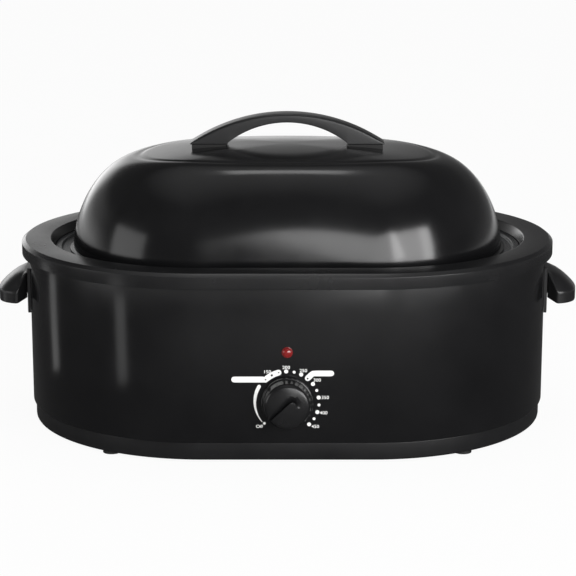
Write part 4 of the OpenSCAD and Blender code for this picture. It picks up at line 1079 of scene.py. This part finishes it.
def paper():
    """White to the camera. In reflections the paper shows painted light: painted shade near the part and a
    painted pool of light at BRIGHT_SPOT.
    """
    made, tree = new_material("white_paper")
    place = add_node(tree, "ShaderNodeTexCoord").outputs["Object"]
    drift = add_node(tree, "ShaderNodeTexNoise", {"Vector": place, "Scale": per_metre(300)}).outputs["Fac"]
    tone = add_node(tree, "ShaderNodeMix", {"Factor": drift, "A": linear("f0f0ef"), "B": linear("f6f6f5")},
                    data_type="RGBA")
    plain = add_node(tree, "ShaderNodeBsdfDiffuse", {"Color": tone.outputs[2]})
    glow = add_node(tree, "ShaderNodeEmission", {"Color": WHITE, "Strength": 1.0})
    away = add_node(tree, "ShaderNodeVectorMath", (place,), operation="LENGTH").outputs["Value"]
    off_spot = add_node(tree, "ShaderNodeVectorMath", (place, BRIGHT_SPOT),
                        operation="DISTANCE").outputs["Value"]
    # painted light and shade of the paper in reflections, by distance in metres: start, end, level at the
    # start, level at the end
    far = add_node(tree, "ShaderNodeMapRange", (away, 1.6, 3.2, 0.06, 0.9)).outputs[0]
    near = add_node(tree, "ShaderNodeMapRange", (off_spot, 0.10, 0.70, 0.30, 0.0)).outputs[0]
    level = add_node(tree, "ShaderNodeMath", (far, near), operation="ADD").outputs[0]
    # this emission is what reflections see of the paper: painted shade near the part, brighter far away and
    # at the painted spot
    painted_reflection = add_node(tree, "ShaderNodeEmission", {"Color": WHITE, "Strength": level})
    mirrored, camera_ray = mirrored_ray(tree)
    bare = add_node(tree, "ShaderNodeMapRange", (camera_ray, 0.0, 1.0, 0.0, PAPER_SHARE)).outputs[0]
    seen = add_node(tree, "ShaderNodeMixShader", (bare, plain.outputs[0], glow.outputs[0]))
    shader = add_node(tree, "ShaderNodeMixShader", (mirrored, seen.outputs[0], painted_reflection.outputs[0]))
    add_node(tree, "ShaderNodeOutputMaterial", {"Surface": shader.outputs[0]})
    return made


floor = add_primitive("floor", bpy.ops.mesh.primitive_plane_add, size=FLOOR_SIZE,
                      location=(0, 0, FLOOR_Z))
floor.data.materials.append(paper())
print("floor", FLOOR_SIZE, "m wide")


# %% The world
ROOM, AMBIENT = 0.07, 0.50  # the dark room in reflections, and the even light on everything
# Reflections fade along one axis of their direction: axis, start, end, value before, value after.
STUDIO_FADES = {
    "behind": ("Y", 0.0, 0.4, 0.0, 1.0),
    "backdrop": ("Z", 0.02, 0.18, 0.9, 0.20),
    "backdrop_end": ("Z", 0.30, 0.42, 1.0, 0.0),
    "right_dim": ("X", 0.03, 0.12, 1.0, 0.15),
    "left_near": ("X", -0.13, 0.0, 0.40, 0.0),
    "left_far": ("X", -0.30, -0.16, 1.1, 0.0),
    "left_end": ("X", -0.62, -0.46, 0.1, 1.0),
    "left_top": ("Z", 0.20, 0.36, 1.0, 0.0),
    "ceiling": ("Z", 0.75, 1.0, 0.0, 0.45),
}
# What is made of the fades, in order: name, operation, and the two that go in.
STUDIO_SUMS = (
    ("low", "MULTIPLY", "backdrop", "backdrop_end"),
    ("low", "MULTIPLY", "low", "right_dim"),
    ("left", "ADD", "left_near", "left_far"),
    ("left", "MULTIPLY", "left", "left_end"),
    ("left", "MULTIPLY", "left", "left_top"),
    ("back", "ADD", "low", "left"),
    ("back", "MULTIPLY", "behind", "back"),
    ("level", "ADD", "room", "back"),
    ("level", "ADD", "level", "ceiling"),
)


def studio_world():
    """White to the camera. Reflections see white low behind the part, and a darker room elsewhere."""
    world = bpy.data.worlds.new("studio")
    scene.world = world
    world.use_nodes = True
    tree = world.node_tree
    tree.nodes.clear()
    direction = add_node(tree, "ShaderNodeTexCoord").outputs["Generated"]
    axes = add_node(tree, "ShaderNodeSeparateXYZ", {"Vector": direction}).outputs
    parts = {name: add_node(tree, "ShaderNodeMapRange", (axes[axis], *values)).outputs[0]
             for name, (axis, *values) in STUDIO_FADES.items()}
    parts["room"] = ROOM
    for name, operation, first, second in STUDIO_SUMS:
        parts[name] = add_node(tree, "ShaderNodeMath", (parts[first], parts[second]),
                               operation=operation).outputs[0]
    mirrored, camera_ray = mirrored_ray(tree)
    lit = add_node(tree, "ShaderNodeMix", {"Factor": mirrored, "A": AMBIENT, "B": parts["level"]},
                   data_type="FLOAT").outputs[0]
    shown = add_node(tree, "ShaderNodeMix", {"Factor": camera_ray, "A": lit, "B": 1.0},
                     data_type="FLOAT").outputs[0]
    sky = add_node(tree, "ShaderNodeBackground", {"Color": WHITE, "Strength": shown})
    add_node(tree, "ShaderNodeOutputWorld", {"Surface": sky.outputs[0]})
    print("world of", len(tree.nodes), "nodes")


studio_world()


# %% Soft boxes
def soft_box(name, turn, rise, distance, width, height, radiance, aim=(0.0, 0.0, 0.2), roll=0.0):
    """A box seen from aim at turn degrees right of the front and rise degrees up.

    Lengths are in metres. A roll, in degrees, lifts the box's right end.
    """
    a, e = math.radians(turn), math.radians(rise)
    direction = Vector((math.sin(a) * math.cos(e), -math.cos(a) * math.cos(e), math.sin(e)))
    place = Vector(aim) + distance * direction
    data = bpy.data.lights.new(name, "AREA")
    data.shape, data.size, data.size_y = "RECTANGLE", width, height
    data.energy = radiance * math.pi * width * height
    lamp = bpy.data.objects.new(name, data)
    lamp.location = place
    lamp.rotation_euler = (Vector(aim) - place).to_track_quat("-Z", "Y").to_euler()
    lamp.rotation_euler.rotate_axis("Z", math.radians(roll))
    lamp.visible_camera = False
    scene.collection.objects.link(lamp)
    print(name, width, "x", height, "m")


# large boxes for the front, the left end and the top
soft_box("key_right", turn=38.5, rise=11.5, distance=2.6, width=1.60, height=1.24, radiance=6.3)
soft_box("key_edge", turn=51.5, rise=11.5, distance=2.6, width=0.42, height=1.24, radiance=3.0)
soft_box("key_front", turn=14, rise=10.5, distance=2.6, width=1.30, height=1.14, radiance=4.5, roll=18)
soft_box("left_side", turn=-70, rise=7, distance=2.4, width=1.35, height=0.95, radiance=1.7)
soft_box("top_box", turn=180, rise=84, distance=2.1, width=0.80, height=0.45, radiance=3.0)
# narrow ones close to the wall, which draw its upright streaks
soft_box("left_card", turn=-52, rise=0, distance=0.22, width=0.036, height=0.19, radiance=1.15,
         aim=(-0.172, -0.163, 0.045))
soft_box("back_left_card", turn=-112, rise=0, distance=0.22, width=0.036, height=0.19, radiance=0.85,
         aim=(-0.243, -0.095, 0.045))
